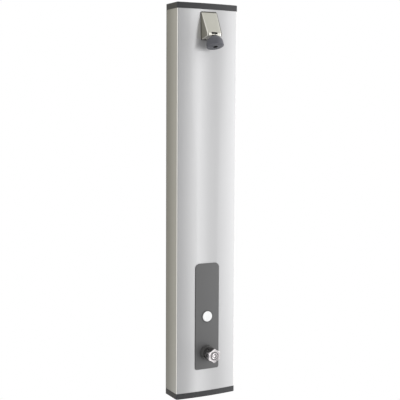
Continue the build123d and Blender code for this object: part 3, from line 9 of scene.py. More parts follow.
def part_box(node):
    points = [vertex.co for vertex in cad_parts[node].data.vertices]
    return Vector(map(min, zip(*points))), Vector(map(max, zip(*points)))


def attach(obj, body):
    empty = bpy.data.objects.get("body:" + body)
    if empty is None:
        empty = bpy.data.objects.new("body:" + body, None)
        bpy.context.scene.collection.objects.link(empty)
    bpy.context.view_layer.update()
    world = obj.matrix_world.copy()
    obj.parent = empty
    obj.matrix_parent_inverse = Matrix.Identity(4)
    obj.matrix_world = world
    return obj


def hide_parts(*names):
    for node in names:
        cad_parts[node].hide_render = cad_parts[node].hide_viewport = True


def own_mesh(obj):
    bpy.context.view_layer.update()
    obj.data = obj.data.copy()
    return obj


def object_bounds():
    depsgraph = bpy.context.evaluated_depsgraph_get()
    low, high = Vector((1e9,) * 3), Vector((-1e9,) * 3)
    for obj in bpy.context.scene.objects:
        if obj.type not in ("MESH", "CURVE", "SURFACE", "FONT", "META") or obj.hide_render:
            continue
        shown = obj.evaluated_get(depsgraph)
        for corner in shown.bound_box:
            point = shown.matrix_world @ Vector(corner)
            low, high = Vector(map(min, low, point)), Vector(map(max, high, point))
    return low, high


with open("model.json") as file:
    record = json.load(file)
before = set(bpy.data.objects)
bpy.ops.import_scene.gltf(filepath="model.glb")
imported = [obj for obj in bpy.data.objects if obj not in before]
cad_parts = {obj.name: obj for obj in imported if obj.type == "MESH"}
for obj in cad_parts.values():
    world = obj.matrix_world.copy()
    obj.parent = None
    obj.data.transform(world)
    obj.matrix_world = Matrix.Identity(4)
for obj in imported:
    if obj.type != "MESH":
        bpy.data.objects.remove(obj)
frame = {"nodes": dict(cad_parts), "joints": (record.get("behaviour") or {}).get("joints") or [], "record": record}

mm = 0.001
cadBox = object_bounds()
print("frame loaded:", len(frame["nodes"]), "nodes")


# Places in the frame that the finishes and the new pieces share

def middleOf(node):
    low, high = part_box(node)
    return (low + high) / 2


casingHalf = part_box("front_casing")[1].x
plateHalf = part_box("control_plate")[1].x
knobLow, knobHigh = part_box("temperature_knob")
knobAxis = middleOf("temperature_knob")
hoodLow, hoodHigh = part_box("head_body")
hoodCorner = Vector((0, hoodLow.y, hoodHigh.z))      # as high as the hood, and as far forward
nozzleTilt = next(joint for joint in frame["joints"] if joint["name"] == "nozzle_tilt")
nozzleOutward = radians(20)                          # from straight down, at rest
nozzleWay = Vector((0, -sin(nozzleOutward), -cos(nozzleOutward)))
ballMiddle = Vector(nozzleTilt["pos_m"])


# Shader helpers: an expression on signals adds Math nodes, node() adds any other node

class Signal:
    def __init__(self, finish, socket):
        self.finish = finish
        self.socket = socket

    def maths(self, operation, other, reflected=False):
        first, second = (other, self) if reflected else (self, other)
        return self.finish.node("Math", {"operation": operation}, {0: first, 1: second})

    def __add__(self, other):
        return self.maths("ADD", other)

    def __radd__(self, other):
        return self.maths("ADD", other, True)

    def __sub__(self, other):
        return self.maths("SUBTRACT", other)

    def __rsub__(self, other):
        return self.maths("SUBTRACT", other, True)

    def __mul__(self, other):
        return self.maths("MULTIPLY", other)

    def __rmul__(self, other):
        return self.maths("MULTIPLY", other, True)

    def above(self, edge, softness):
        # 0 below the edge, 1 above it, with a soft step between
        return self.finish.node("MapRange", {"interpolation_type": "SMOOTHSTEP"},
                                {0: self, 1: edge - softness, 2: edge + softness, 3: 0.0, 4: 1.0})

    def between(self, low, high, softness):
        # 1 between two edges, 0 outside them
        return self.above(low, softness) * (1 - self.above(high, softness))


class Finish:
    def __init__(self, name):
        self.material = bpy.data.materials.new(name)
        self.material.use_nodes = True
        self.tree = self.material.node_tree
        self.shader = self.tree.nodes["Principled BSDF"]
        self.texture = self.tree.nodes.new("ShaderNodeTexCoord")

    def feed(self, socket, value):
        if isinstance(value, Signal):
            self.tree.links.new(value.socket, socket)
        else:
            socket.default_value = value

    def node(self, kind, settings, values, output=0):
        made = self.tree.nodes.new("ShaderNode" + kind)
        for name, value in settings.items():
            setattr(made, name, value)
        for key, value in values.items():
            self.feed(made.inputs[key], value)
        return Signal(self, made.outputs[output])

    def place(self, scale=(1, 1, 1), shift=(0, 0, 0), turn=(0, 0, 0)):
        # object coordinates in metres, moved, turned and scaled for a pattern
        return self.node("Mapping", {}, {0: Signal(self, self.texture.outputs["Object"]),
                                         1: shift, 2: turn, 3: scale})

    def noise(self, scale, detail=3.0, roughness=0.5):
        # scale is grains a metre, one number or one for each axis
        scales = scale if isinstance(scale, tuple) else (scale,) * 3
        return self.node("TexNoise", {}, {"Vector": self.place(scales), "Scale": 1.0,
                                          "Detail": detail, "Roughness": roughness})

    def along(self, axis):
        # one object coordinate, in metres
        return self.node("SeparateXYZ", {}, {0: Signal(self, self.texture.outputs["Object"])}, axis)

    def fromMiddle(self):
        # how far a point lies to either side of the panel's middle, in metres
        return self.along(0).maths("ABSOLUTE", 0.0)

    def height(self, low, high):
        # 0 at the height low, 1 at high
        return self.node("MapRange", {}, {0: self.along(2), 1: low, 2: high, 3: 0.0, 4: 1.0})

    def within(self, low, high, softness):
        # 1 inside a box, 0 outside it
        inside = 1.0
        for axis in range(3):
            inside = self.along(axis).between(low[axis], high[axis], softness) * inside
        return inside

    def awayFrom(self, centre, scale=(1, 1, 1)):
        # distance from a point, or from a line where one scale is 0
        shift = tuple(-part * size for part, size in zip(centre, scale))
        return self.node("VectorMath", {"operation": "LENGTH"}, {0: self.place(scale, shift)}, 1)

    def rolledEdge(self, past, width):
        # height of a rounded edge against its flat, from how far a point is past the rounding's start
        over = past.maths("MAXIMUM", 0.0).maths("MINIMUM", width)
        return over * over * (-0.5 / width)

    def blend(self, factor, first, second):
        # a colour between two colours
        colours = {6: first if isinstance(first, Signal) else (*first, 1),
                   7: second if isinstance(second, Signal) else (*second, 1)}
        return self.node("Mix", {"data_type": "RGBA"}, {0: factor, **colours}, 2)

    def bump(self, height, distance, normal=None):
        values = {"Height": height, "Distance": distance, "Strength": 1.0}
        if normal:
            values["Normal"] = normal
        return self.node("Bump", {}, values)

    def surface(self, **inputs):
        for name, value in inputs.items():
            self.feed(self.shader.inputs[name.replace("_", " ")], value)
        return self.material


def darker(colour, share):
    return tuple(share * part for part in colour)


# Finishes, one function for each kind of stuff, with its values above it. Patterns are given in
# grains a metre, places and widths in metres

crisp = 0.0002                         # half the blur of a sharp line between two colours

casingLook = {
    "colour": (0.600, 0.600, 0.607),
    "shade": (0.552, 0.552, 0.557),
    "metallic": 0.50,
    "roughness": 0.29,                 # where it is smoothest
    "cloudRoughness": 0.05,
    "grainRoughness": 0.03,
    "anisotropy": 0.85,                # the satin blurs reflections along the panel
    "anisotropyTurn": 0.25,
    "dieLines": (620, 620, 1.6),       # long vertical lines left by the extrusion die
    "dieLineDepth": 0.000004,
    "lineShare": 0.6,                  # of the change between colour and shade, the rest is cloud
    "cloud": (7, 7, 3),
    "grain": 2600,
    "grainHeight": 0.4,                # against the die lines
    "sideDepth": 0.074,
    "cornerRadius": 0.0024,            # where a side meets the front
    "cornerHighlightBand": 0.8,                 # share of the radius that carries the painted highlight
    "cornerHighlightColour": (1.0, 0.98, 0.93),
    "paintedSideShade": 0.62,                 # painted shade: how dark the sides grow towards the wall
    "paintedShadeFade": 0.036,                 # half the depth over which the painted shade darkens them
}


def anodisedAluminium(name, look):
    finish = Finish(name)
    lines = finish.noise(look["dieLines"], 4.0, 0.6)
    cloud = finish.noise(look["cloud"], 2.0)
    grain = finish.noise(look["grain"], 1.0)
    lineShare = look["lineShare"]
    coat = finish.blend(lines * lineShare + cloud * (1 - lineShare), look["shade"], look["colour"])
    across = finish.fromMiddle()
    forward = finish.along(1) * -1
    radius = look["cornerRadius"]
    band = look["cornerHighlightBand"] * radius
    # painted shade: the casing's sides darken towards the wall
    paintedWallShade = across.above(casingHalf - 2 * crisp, crisp) * finish.along(1).above(
        -look["paintedShadeFade"], look["paintedShadeFade"])
    rolled = finish.rolledEdge(across - (casingHalf - radius), radius) + finish.rolledEdge(
        forward - (look["sideDepth"] - radius), radius)
    # painted highlight: a pale band along the corner where a side meets the front
    corner = across.above(casingHalf - band, crisp) * forward.above(look["sideDepth"] - band, crisp)
    # the sides with their painted shade
    sides = finish.blend(paintedWallShade, coat, darker(look["shade"], look["paintedSideShade"]))
    return finish.surface(
        Base_Color=finish.blend(corner, sides, look["cornerHighlightColour"]),
        Metallic=look["metallic"],
        Anisotropic=look["anisotropy"],
        Anisotropic_Rotation=look["anisotropyTurn"],
        Roughness=cloud * look["cloudRoughness"] + grain * look["grainRoughness"] + look["roughness"],
        Normal=finish.bump(lines + grain * look["grainHeight"], look["dieLineDepth"],
                           finish.bump(rolled, 1.0)))


plasticWear = {
    "cloud": 18,                       # handling
    "cloudShare": 0.7,                 # of the colour's change, the rest is the mould's grain
    "dark": 0.88,
    "cloudRoughness": 0.10,
    "grainRoughness": 0.05,
    "averageRoughness": 0.07,          # what both add on average
    "coatRoughness": 0.12,
    # painted shade along a plate's side edges: how dark, and how softly it starts
    "paintedEdgeShadeDark": 0.4,
    "paintedEdgeShadeBlur": 0.0005,
    # colour of the painted shade in the nozzle's screw well
    "wellColour": (0.002, 0.002, 0.002),
}


def mouldedPlastic(name, look):
    wear = plasticWear
    finish = Finish(name)
    cloud = finish.noise(wear["cloud"])
    grain = finish.noise(look["grain"], 2.0, 0.6)
    change = cloud * wear["cloudShare"] + grain * (1 - wear["cloudShare"])
    colour = finish.blend(change, darker(look["colour"], wear["dark"]), look["colour"])
    # painted shade: the plate's side edges are darkened
    if "paintedEdgeShadeFrom" in look:
        side = finish.fromMiddle().above(look["paintedEdgeShadeFrom"], wear["paintedEdgeShadeBlur"])
        colour = finish.blend(side, colour, darker(look["colour"], wear["paintedEdgeShadeDark"]))
    # painted shade: the screw's well and a little of the crown round it are darkened
    if "well" in look:
        out, radius = look["well"]
        middle = ballMiddle + out * nozzleWay
        colour = finish.blend(finish.awayFrom(middle).above(radius, crisp), wear["wellColour"], colour)
    added = cloud * wear["cloudRoughness"] + grain * wear["grainRoughness"]
    return finish.surface(
        Base_Color=colour,
        Roughness=added + (look["roughness"] - wear["averageRoughness"]),
        Normal=finish.bump(grain, look["depth"]),
        Coat_Weight=look.get("coat", 0.0),
        Coat_Roughness=wear["coatRoughness"])


steelWear = {
    "cloud": 25,
    "lineShare": 0.5,
    "dark": 0.8,
    "lineRoughness": 0.08,
    "cloudRoughness": 0.10,
    "averageRoughness": 0.09,
}


def drawnSteel(name, look):
    wear = steelWear
    finish = Finish(name)
    lines = finish.noise(look["lines"], 4.0, 0.6)
    cloud = finish.noise(wear["cloud"])
    change = lines * wear["lineShare"] + cloud * (1 - wear["lineShare"])
    added = lines * wear["lineRoughness"] + cloud * wear["cloudRoughness"]
    return finish.surface(
        Base_Color=finish.blend(change, darker(look["colour"], wear["dark"]), look["colour"]),
        Metallic=1.0,
        Roughness=added + (look["roughness"] - wear["averageRoughness"]),
        Normal=finish.bump(lines, look["depth"]))


tarnishWear = {
    "edge": (0.55, 0.14),              # where in the noise a patch starts, and how softly
    "roughness": 0.16,                 # added in a patch
    "grain": 900,
    "grainRoughness": 0.06,
}


def warmMetal(name, look):
    # brass and copper: bright metal with darker, rougher tarnish in soft patches
    wear = tarnishWear
    finish = Finish(name)
    patches = finish.noise(look["patch"], 5.0, 0.6).above(*wear["edge"])
    grain = finish.noise(wear["grain"], 2.0)
    return finish.surface(
        Base_Color=finish.blend(patches, look["colour"], look["tarnish"]),
        Metallic=1.0,
        Roughness=patches * wear["roughness"] + grain * wear["grainRoughness"] + look["roughness"],
        Normal=finish.bump(grain, look["depth"]))


knobLook = {
    "colour": (0.67, 0.64, 0.65),
    "dark": 0.93,
    "cloud": 60,
    "cloudRoughness": 0.05,
    "roughness": 0.07,
    "polish": (700, 3000, 700),        # faint marks round the axis
    "depth": 0.000002,
    "paintedReflectionRings": ((0.0052, 0.0024), (0.0114, 0.0028)),     # radius and width of each painted dark reflection ring on the face
    "paintedReflectionColour": (0.12, 0.11, 0.115),
    "darkFlankStart": 0.0036,              # painted dark reflection on the knob's side, from here behind its front
    "darkFlankBlur": 0.0005,
    "paintedFlankReflection": (0.30, 0.29, 0.29),
}


def polishedChrome(name, look):
    finish = Finish(name)
    cloud = finish.noise(look["cloud"])
    polish = finish.noise(look["polish"])
    out = finish.awayFrom(knobAxis, (1, 0, 1))
    # painted dark reflections: dark rings on the knob's face
    lines = 0.0
    for radius, width in look["paintedReflectionRings"]:
        lines = out.between(radius - width / 2, radius + width / 2, crisp) + lines
    face = finish.blend(cloud, darker(look["colour"], look["dark"]), look["colour"])
    # painted dark reflection on the knob's flank
    paintedFlankReflection = finish.along(1).above(knobLow.y + look["darkFlankStart"], look["darkFlankBlur"])
    return finish.surface(
        Base_Color=finish.blend(lines, finish.blend(paintedFlankReflection, face, look["paintedFlankReflection"]), look["paintedReflectionColour"]),
        Metallic=1.0,
        Roughness=cloud * look["cloudRoughness"] + look["roughness"],
        Normal=finish.bump(polish, look["depth"]))


headLook = {
    "colour": (0.80, 0.79, 0.73),
    "shade": (0.70, 0.69, 0.63),
    "flakes": 1900,                    # of the sprayed metal coat
    "flakeEdge": (0.55, 0.15),
    "flakeHeight": 0.15,               # against the orange peel
    "peel": 240,
    "depth": 0.000015,
    "cloud": 20,
    "cloudRoughness": 0.08,
    "roughness": 0.26,                 # where it is smoothest
    "slot": ((-0.0102, 0.0016, -0.0678), (0.0102, 0.0055, -0.0615)),     # box of the slot's painted shade, from hoodCorner
    "slotBlur": 0.00015,
    "slotShadeColour": (0.004, 0.004, 0.004),
    "height": 0.082,                   # of the hood
    "topHalf": 0.027,                  # half its width at the upper end
    "lowHalf": 0.0245,
    "edgeWidth": 0.0045,               # of the rounded side edges at the upper end
    "edgeGrowth": 0.6,                 # how much wider they are at the lower end
    "paintedCheekShade": (0.36, 0.35, 0.29),       # painted shade on the hood's two sides
    "cheekShadeStart": 0.0003,
    "rim": (0.16, 0.155, 0.13),        # painted shadow line along the top and the right edge
    "topShadowLine": 0.0026,
    "rightShadowLine": 0.0028,
    "shadowLineBlur": 0.0003,
    "rightShadowBlur": 0.001,
}


def satinPaint(name, look):
    # a sprayed metallic coat with pale flakes and a little orange peel, with painted shade on the sides, inside
    # the slot and along the top and right edge
    finish = Finish(name)
    flakes = finish.noise(look["flakes"], 2.0, 0.7)
    peel = finish.noise(look["peel"], 2.0)
    cloud = finish.noise(look["cloud"], 2.0)
    coat = finish.blend(flakes.above(*look["flakeEdge"]), look["shade"], look["colour"])
    # painted shade: the slot in the hood's lip is blackened inside
    low, high = (hoodCorner + Vector(corner) for corner in look["slot"])
    paintedSlotShade = finish.within(low, high, look["slotBlur"])
    down = 1 - finish.height(hoodCorner.z - look["height"], hoodCorner.z)
    narrowing = look["topHalf"] - look["lowHalf"]
    past = finish.fromMiddle() - (look["topHalf"] - narrowing * down)
    # painted shade on the hood's two sides
    paintedCheekShade = past.above(-look["cheekShadeStart"], crisp)
    growth = look["edgeGrowth"] * look["edgeWidth"]
    rolled = finish.rolledEdge(past + look["edgeWidth"] + growth * down, look["edgeWidth"] + growth)
    # painted shadow lines along the hood's top and right edge
    rightShadowLine = past.above(-look["rightShadowLine"], look["shadowLineBlur"]) * finish.along(0).above(
        0, look["rightShadowBlur"])
    topShadowLine = finish.along(2).above(hoodCorner.z - look["topShadowLine"], look["shadowLineBlur"])
    coat = finish.blend(paintedCheekShade, coat, look["paintedCheekShade"])
    coat = finish.blend(rightShadowLine.maths("MAXIMUM", topShadowLine), coat, look["rim"])
    return finish.surface(
        Base_Color=finish.blend(paintedSlotShade, coat, look["slotShadeColour"]),
        Metallic=1.0,
        Roughness=cloud * look["cloudRoughness"] + look["roughness"],
        Normal=finish.bump(peel + flakes * look["flakeHeight"], look["depth"], finish.bump(rolled, 1.0)))


rubberWear = {
    "bloom": 35,
    "bloomEdge": (0.5, 0.2),
    "pores": 1500,
    "poreRoughness": 0.1,
}


def softRubber(name, look):
    wear = rubberWear
    finish = Finish(name)
    bloom = finish.noise(wear["bloom"], 4.0, 0.6).above(*wear["bloomEdge"])
    pores = finish.noise(wear["pores"], 2.0)
    return finish.surface(
        Base_Color=finish.blend(bloom, look["colour"], look["bloom"]),
        Roughness=pores * wear["poreRoughness"] + look["roughness"],
        Normal=finish.bump(pores, look["depth"]))


boardLook = {
    "colour": (0.010, 0.075, 0.028),
    "track": (0.025, 0.16, 0.06),
    "tracks": 260,
    "gap": 0.06,
    "gapBlur": 0.2,
    "weave": 1200,
    "weaveRoughness": 0.1,
    "roughness": 0.25,
    "depth": 0.00003,
}


def solderMask(name, look):
    # a circuit board: copper tracks showing lighter through the green
    finish = Finish(name)
    facingFront = finish.place(turn=(pi / 2, 0, 0))
    tracks = finish.node("TexBrick", {}, {"Vector": facingFront, "Scale": look["tracks"],
                                          "Mortar Size": look["gap"], "Mortar Smooth": look["gapBlur"]}, 1)
    weave = finish.noise(look["weave"], 1.0)
    return finish.surface(
        Base_Color=finish.blend(tracks, look["colour"], look["track"]),
        Roughness=weave * look["weaveRoughness"] + look["roughness"],
        Normal=finish.bump(tracks, look["depth"]))


plainGrain = {"grain": 1400, "depth": 0.00001}
slotLooks = {
    "casing": (anodisedAluminium, casingLook),
    "end_caps": (mouldedPlastic, {"colour": (0.036, 0.036, 0.039), "roughness": 0.45,
                                  "grain": 1700, "depth": 0.00003}),
    "stainless_screws": (drawnSteel, {"colour": (0.62, 0.62, 0.63), "roughness": 0.28,
                                      "lines": 900, "depth": 0.000004}),
    "seal_rubber": (softRubber, {"colour": (0.030, 0.030, 0.031), "bloom": (0.06, 0.06, 0.062),
                                 "roughness": 0.65, "depth": 0.00002}),
    "chassis_steel": (drawnSteel, {"colour": (0.58, 0.58, 0.59), "roughness": 0.36,
                                   "lines": (14, 900, 900), "depth": 0.000006}),
    "valve_brass": (warmMetal, {"colour": (0.70, 0.53, 0.26), "tarnish": (0.44, 0.31, 0.14),
                                "patch": 45, "roughness": 0.26, "depth": 0.000012}),
    "valve_inner": (mouldedPlastic, {"colour": (0.72, 0.71, 0.66), "roughness": 0.42, **plainGrain}),
    "spring_steel": (drawnSteel, {"colour": (0.52, 0.52, 0.54), "roughness": 0.26,
                                  "lines": 1500, "depth": 0.000004}),
    "knob_chrome": (polishedChrome, knobLook),
    "collar_plastic": (mouldedPlastic, {"colour": (0.075, 0.074, 0.072), "roughness": 0.28,
                                        "coat": 0.3, **plainGrain}),
    # the plate's side edges carry painted shade
    "plate_grey": (mouldedPlastic, {"colour": (0.130, 0.130, 0.131), "roughness": 0.42,
                                    "grain": 2200, "depth": 0.000012,
                                    "paintedEdgeShadeFrom": plateHalf - 0.0012}),
    "bezel_plastic": (mouldedPlastic, {"colour": (0.085, 0.085, 0.088), "roughness": 0.32, **plainGrain}),
    "button_white": (mouldedPlastic, {"colour": (1.0, 1.0, 1.0), "roughness": 0.24,
                                      "coat": 0.4, "grain": 500, "depth": 0.000004}),
    "switch_plastic": (mouldedPlastic, {"colour": (0.020, 0.020, 0.021), "roughness": 0.5, **plainGrain}),
    "coil_black": (mouldedPlastic, {"colour": (0.016, 0.016, 0.018), "roughness": 0.5, **plainGrain}),
    "pipe_copper": (warmMetal, {"colour": (0.80, 0.42, 0.27), "tarnish": (0.45, 0.20, 0.12),
                                "patch": 30, "roughness": 0.22, "depth": 0.000006}),
    "clip_plastic": (mouldedPlastic, {"colour": (0.72, 0.72, 0.71), "roughness": 0.45, **plainGrain}),
    "box_plastic": (mouldedPlastic, {"colour": (0.60, 0.60, 0.59), "roughness": 0.48, **plainGrain}),
    "board_green": (solderMask, boardLook),
    "battery_wrap": (mouldedPlastic, {"colour": (0.02, 0.06, 0.26), "roughness": 0.22, **plainGrain}),
    "cable_black": (softRubber, {"colour": (0.012, 0.012, 0.013), "bloom": (0.03, 0.03, 0.03),
                                 "roughness": 0.5, "depth": 0.00001}),
    "head_metal": (satinPaint, headLook),
    "gasket_rubber": (softRubber, {"colour": (0.018, 0.018, 0.018), "bloom": (0.04, 0.04, 0.04),
                                   "roughness": 0.7, "depth": 0.00002}),
    "nozzle_grey": (mouldedPlastic, {"colour": (0.098, 0.100, 0.116), "roughness": 0.38,
                                     "grain": 1500, "depth": 0.00002}),
    "nozzle_face_grey": (mouldedPlastic, {"colour": (0.125, 0.128, 0.145), "roughness": 0.42,
                                          "grain": 1500, "depth": 0.00002,
                                          # painted shade at the centre: its distance from the ball, and radius
                                          "well": (0.0155, 0.0076)}),
}
finishes = {name: make(name, look) for name, (make, look) in slotLooks.items()}


def dress(node, material):
    if not node.material_slots:
        node.data.materials.append(None)
    for place in node.material_slots:
        place.material = material


# Every solid of the frame takes the finish of its slot in the record, but the nozzle's screw is blackened, its
# black also standing in for painted shade deep in the well
for part in frame["record"]["subparts"]:
    dress(frame["nodes"][part["node"]], finishes[part["material_slot"]])
screwShadeBlack = {"colour": (0.010, 0.010, 0.011), "roughness": 0.5, "lines": 900, "depth": 0.000004}
dress(frame["nodes"]["nozzle_screw"], drawnSteel("blackened_screw", screwShadeBlack))
print("finishes made:", len(finishes) + 1)


# Mesh helpers. Pieces are drawn in millimetres and placed in metres

near = 0.1                             # millimetres, to pick edges and points out by their place
weld = 0.0001                          # millimetres, where a spin closes on itself
sharp = 35                             # degrees, from which an edge is bevelled or stays crisp


class Turning:
    # half a section drawn as radius out from the axis and height along it, then spun
    def __init__(self, radius, height):
        self.bm = bmesh.new()
        self.tip = self.bm.verts.new((radius, 0, height))

    def line(self, radius, height):
        end = self.bm.verts.new((radius, 0, height))
        self.bm.edges.new((self.tip, end))
        self.tip = end
        return self

    def arc(self, radius, height, angle, steps):
        # turns the drawing's tip about the point (radius, height), from radius towards height
        made = bmesh.ops.spin(self.bm, geom=[self.tip], cent=(radius, 0, height), axis=(0, -1, 0),
                              angle=radians(angle), steps=steps)
        self.tip = made["geom_last"][0]
        return self

    def spun(self, steps):
        geom = self.bm.verts[:] + self.bm.edges[:]
        bmesh.ops.spin(self.bm, geom=geom, cent=(0, 0, 0), axis=(0, 0, 1), angle=2 * pi,
                       steps=steps, use_merge=True)
        bmesh.ops.remove_doubles(self.bm, verts=self.bm.verts, dist=weld)
        return self.bm


def roundRings(bm, width, segments, beyond, above):
    # bevels the sharp rings of edges further out than one radius and above one height
    edges = [edge for edge in bm.edges if edge.calc_face_angle(0) > radians(sharp) and all(
        hypot(vert.co.x, vert.co.y) > beyond - near and vert.co.z > above - near
        for vert in edge.verts)]
    bmesh.ops.bevel(bm, geom=edges, offset=width, offset_type="OFFSET", affect="EDGES",
                    segments=segments, profile=0.5, material=-1, clamp_overlap=True)


def facing(origin, outward):
    # local +Z turned outward with local +X level, and millimetres made metres
    z = Vector(outward).normalized()
    x = Vector((1, 0, 0))
    turn = Matrix((x, z.cross(x), z)).transposed().to_4x4()
    return Matrix.Translation(origin) @ turn @ Matrix.Scale(mm, 4)


def addPiece(name, bm, place, body, slotName, nodes=(), smoothBelow=sharp):
    bmesh.ops.recalc_face_normals(bm, faces=bm.faces)
    bm.transform(place)
    mesh = bpy.data.meshes.new(name)
    bm.to_mesh(mesh)
    bm.free()
    mesh.materials.append(finishes[slotName])
    mesh.shade_smooth()
    mesh.set_sharp_from_angle(angle=radians(smoothBelow))
    piece = bpy.data.objects.new(name, mesh)
    bpy.context.scene.collection.objects.link(piece)
    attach(piece, body)
    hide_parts(*nodes)
    print("piece:", name, len(mesh.polygons), "faces")
    return piece


# Push button: a white disc with a faint crown, and the ring round it

button = {
    "radius": 16,
    "thickness": 3,
    "crown": 0.6,
    "edge": 0.8,
    "stem": 5,
    "crownSteps": 10,
    "steps": 128,
}
buttonLow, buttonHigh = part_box("button_cap")
buttonAxis = middleOf("button_cap")
stemLength = (buttonHigh.y - buttonLow.y) / mm
crownSphere = (button["radius"]**2 + button["crown"]**2) / (2 * button["crown"])
crownAngle = degrees(atan2(button["radius"], crownSphere - button["crown"]))
rimFront = stemLength - button["crown"]
disc = Turning(0, stemLength).arc(0, stemLength - crownSphere, -crownAngle, button["crownSteps"])
disc.line(button["radius"], rimFront - button["thickness"])
disc.line(button["stem"], rimFront - button["thickness"])
disc.line(button["stem"], 0).line(0, 0)
discMesh = disc.spun(button["steps"])
roundRings(discMesh, button["edge"], 4, button["radius"], rimFront)
addPiece("pushDisc", discMesh, facing((0, buttonHigh.y, buttonAxis.z), (0, -1, 0)), "button",
         "button_white", ["button_cap"])

bezel = {
    "flangeRadius": 18.8,
    "barrelRadius": 17.6,
    "wellRadius": 16.3,
    "flange": 1.2,
    "floor": 3,
    "recess": 3,
    "recessRadius": 8.4,
    "stemHole": 5.06,
    "edge": 0.35,
    "steps": 128,
}
bezelLow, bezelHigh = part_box("button_bezel")
bezelLength = (bezelHigh.y - bezelLow.y) / mm
flangeBack = bezelLength - bezel["flange"]
wellFloor = bezel["recess"] + bezel["floor"]
ring = Turning(bezel["barrelRadius"], 0).line(bezel["barrelRadius"], flangeBack)
ring.line(bezel["flangeRadius"], flangeBack).line(bezel["flangeRadius"], bezelLength)
ring.line(bezel["wellRadius"], bezelLength).line(bezel["wellRadius"], wellFloor)
ring.line(bezel["stemHole"], wellFloor)
ring.line(bezel["stemHole"], bezel["recess"]).line(bezel["recessRadius"], bezel["recess"])
ring.line(bezel["recessRadius"], 0).line(bezel["barrelRadius"], 0)
ringMesh = ring.spun(bezel["steps"])
roundRings(ringMesh, bezel["edge"], 3, bezel["wellRadius"], bezelLength)
addPiece("discRing", ringMesh, facing((0, bezelHigh.y, buttonAxis.z), (0, -1, 0)), "panel",
         "bezel_plastic", ["button_bezel"])


# Temperature control: a dark grooved collar, and a chrome knob with six lobes and a raised cap

collar = {
    "radius": 23.5,
    "openingRadius": 12,
    "bonnetRadius": 17.1,
    "front": 2.7,
    "edge": 1.1,
    "grooves": 3,
    "pitches": 4.6,                 # the collar's length, counted in the grooves' spacing
    "grooveDepth": 0.35,            # and half its width
    "steps": 160,
}
collarLow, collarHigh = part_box("knob_collar")
collarLength = (collarHigh.y - collarLow.y) / mm
cup = Turning(collar["bonnetRadius"], 0).line(collar["radius"], 0)
for step in range(collar["grooves"]):
    height = collarLength * (step + 1) / collar["pitches"]
    cup.line(collar["radius"], height - collar["grooveDepth"])
    cup.line(collar["radius"] - collar["grooveDepth"], height)
    cup.line(collar["radius"], height + collar["grooveDepth"])
frontInside = collarLength - collar["front"]
cup.line(collar["radius"], collarLength).line(collar["openingRadius"], collarLength)
cup.line(collar["openingRadius"], frontInside).line(collar["bonnetRadius"], frontInside)
cup.line(collar["bonnetRadius"], 0)
cupMesh = cup.spun(collar["steps"])
roundRings(cupMesh, collar["edge"], 4, collar["radius"], collarLength)
addPiece("knobCup", cupMesh, facing((0, collarHigh.y, knobAxis.z), (0, -1, 0)), "panel",
         "collar_plastic", ["knob_collar"])

knob = {
    "skirtRadius": 19.5,
    "skirt": 11,
    "radius": 21.8,
    "lobes": 6,
    "lobeRadius": 6.5,
    "waistRadius": 18.6,
    "lobeStart": 90,                # degrees, one lobe straight up
    "frontRounding": 2.6,
    "roundingSteps": 8,
    "grooveOuter": 16,
    "grooveInner": 14,
    "grooveDepth": 1.2,
    "capRadius": 9,
    "capProud": 1.2,
    "capRounding": 0.6,
    "capSteps": 4,
    "rearBore": 5,
    "steps": 288,
    "softness": 0.35,               # how softly a lobe runs into the waist, in millimetres
}
knobLength = (knobHigh.y - knobLow.y) / mm


def lobedRadius(angle):
    # the grip's outline: round lobes on a round waist, blended where they meet
    pitch = 2 * pi / knob["lobes"]
    offset = (angle - radians(knob["lobeStart"]) + pitch / 2) % pitch - pitch / 2
    centre = knob["radius"] - knob["lobeRadius"]
    reach = knob["lobeRadius"]**2 - (centre * sin(offset))**2
    if reach <= 0:
        return knob["waistRadius"]
    lobe = centre * cos(offset) + sqrt(reach)
    soft = knob["softness"]
    return knob["waistRadius"] + soft * log(1 + exp((lobe - knob["waistRadius"]) / soft))


roundingStart = knobLength - knob["frontRounding"]
grooveFloor = knobLength - knob["grooveDepth"]
capFront = knobLength + knob["capProud"]
capEdge = capFront - knob["capRounding"]
grip = Turning(0, 0).line(knob["rearBore"], 0).line(knob["skirtRadius"], 0)
grip.line(knob["skirtRadius"], knob["skirt"]).line(knob["radius"], knob["skirt"])
grip.line(knob["radius"], knobLength / 2).line(knob["radius"], roundingStart)
grip.arc(knob["radius"] - knob["frontRounding"], roundingStart, 90, knob["roundingSteps"])
grip.line(knob["grooveOuter"], knobLength).line(knob["grooveOuter"], grooveFloor)
grip.line(knob["grooveInner"], grooveFloor).line(knob["grooveInner"], knobLength)
grip.line(knob["capRadius"], knobLength).line(knob["capRadius"], capEdge)
grip.arc(knob["capRadius"] - knob["capRounding"], capEdge, 90, knob["capSteps"]).line(0, capFront)
gripMesh = grip.spun(knob["steps"])
for vert in gripMesh.verts:
    # the grip is drawn inwards between its lobes, all but the skirt's own edge
    radius = hypot(vert.co.x, vert.co.y)
    onSkirt = abs(radius - knob["skirtRadius"]) < near and vert.co.z < knob["skirt"] + near
    if vert.co.z > knob["skirt"] - near and radius > knob["grooveOuter"] + near and not onSkirt:
        share = (lobedRadius(atan2(vert.co.y, vert.co.x)) - knob["grooveOuter"]) / (
            knob["radius"] - knob["grooveOuter"])
        wanted = knob["grooveOuter"] + (radius - knob["grooveOuter"]) * share
        vert.co.x *= wanted / radius
        vert.co.y *= wanted / radius
addPiece("lobedKnob", gripMesh, facing((0, knobHigh.y, knobAxis.z), (0, -1, 0)), "knob",
         "knob_chrome", ["temperature_knob", "knob_cap"], 40)


# Nozzle: a dome with a boss inside that seats the joint ball, open above it for the neck

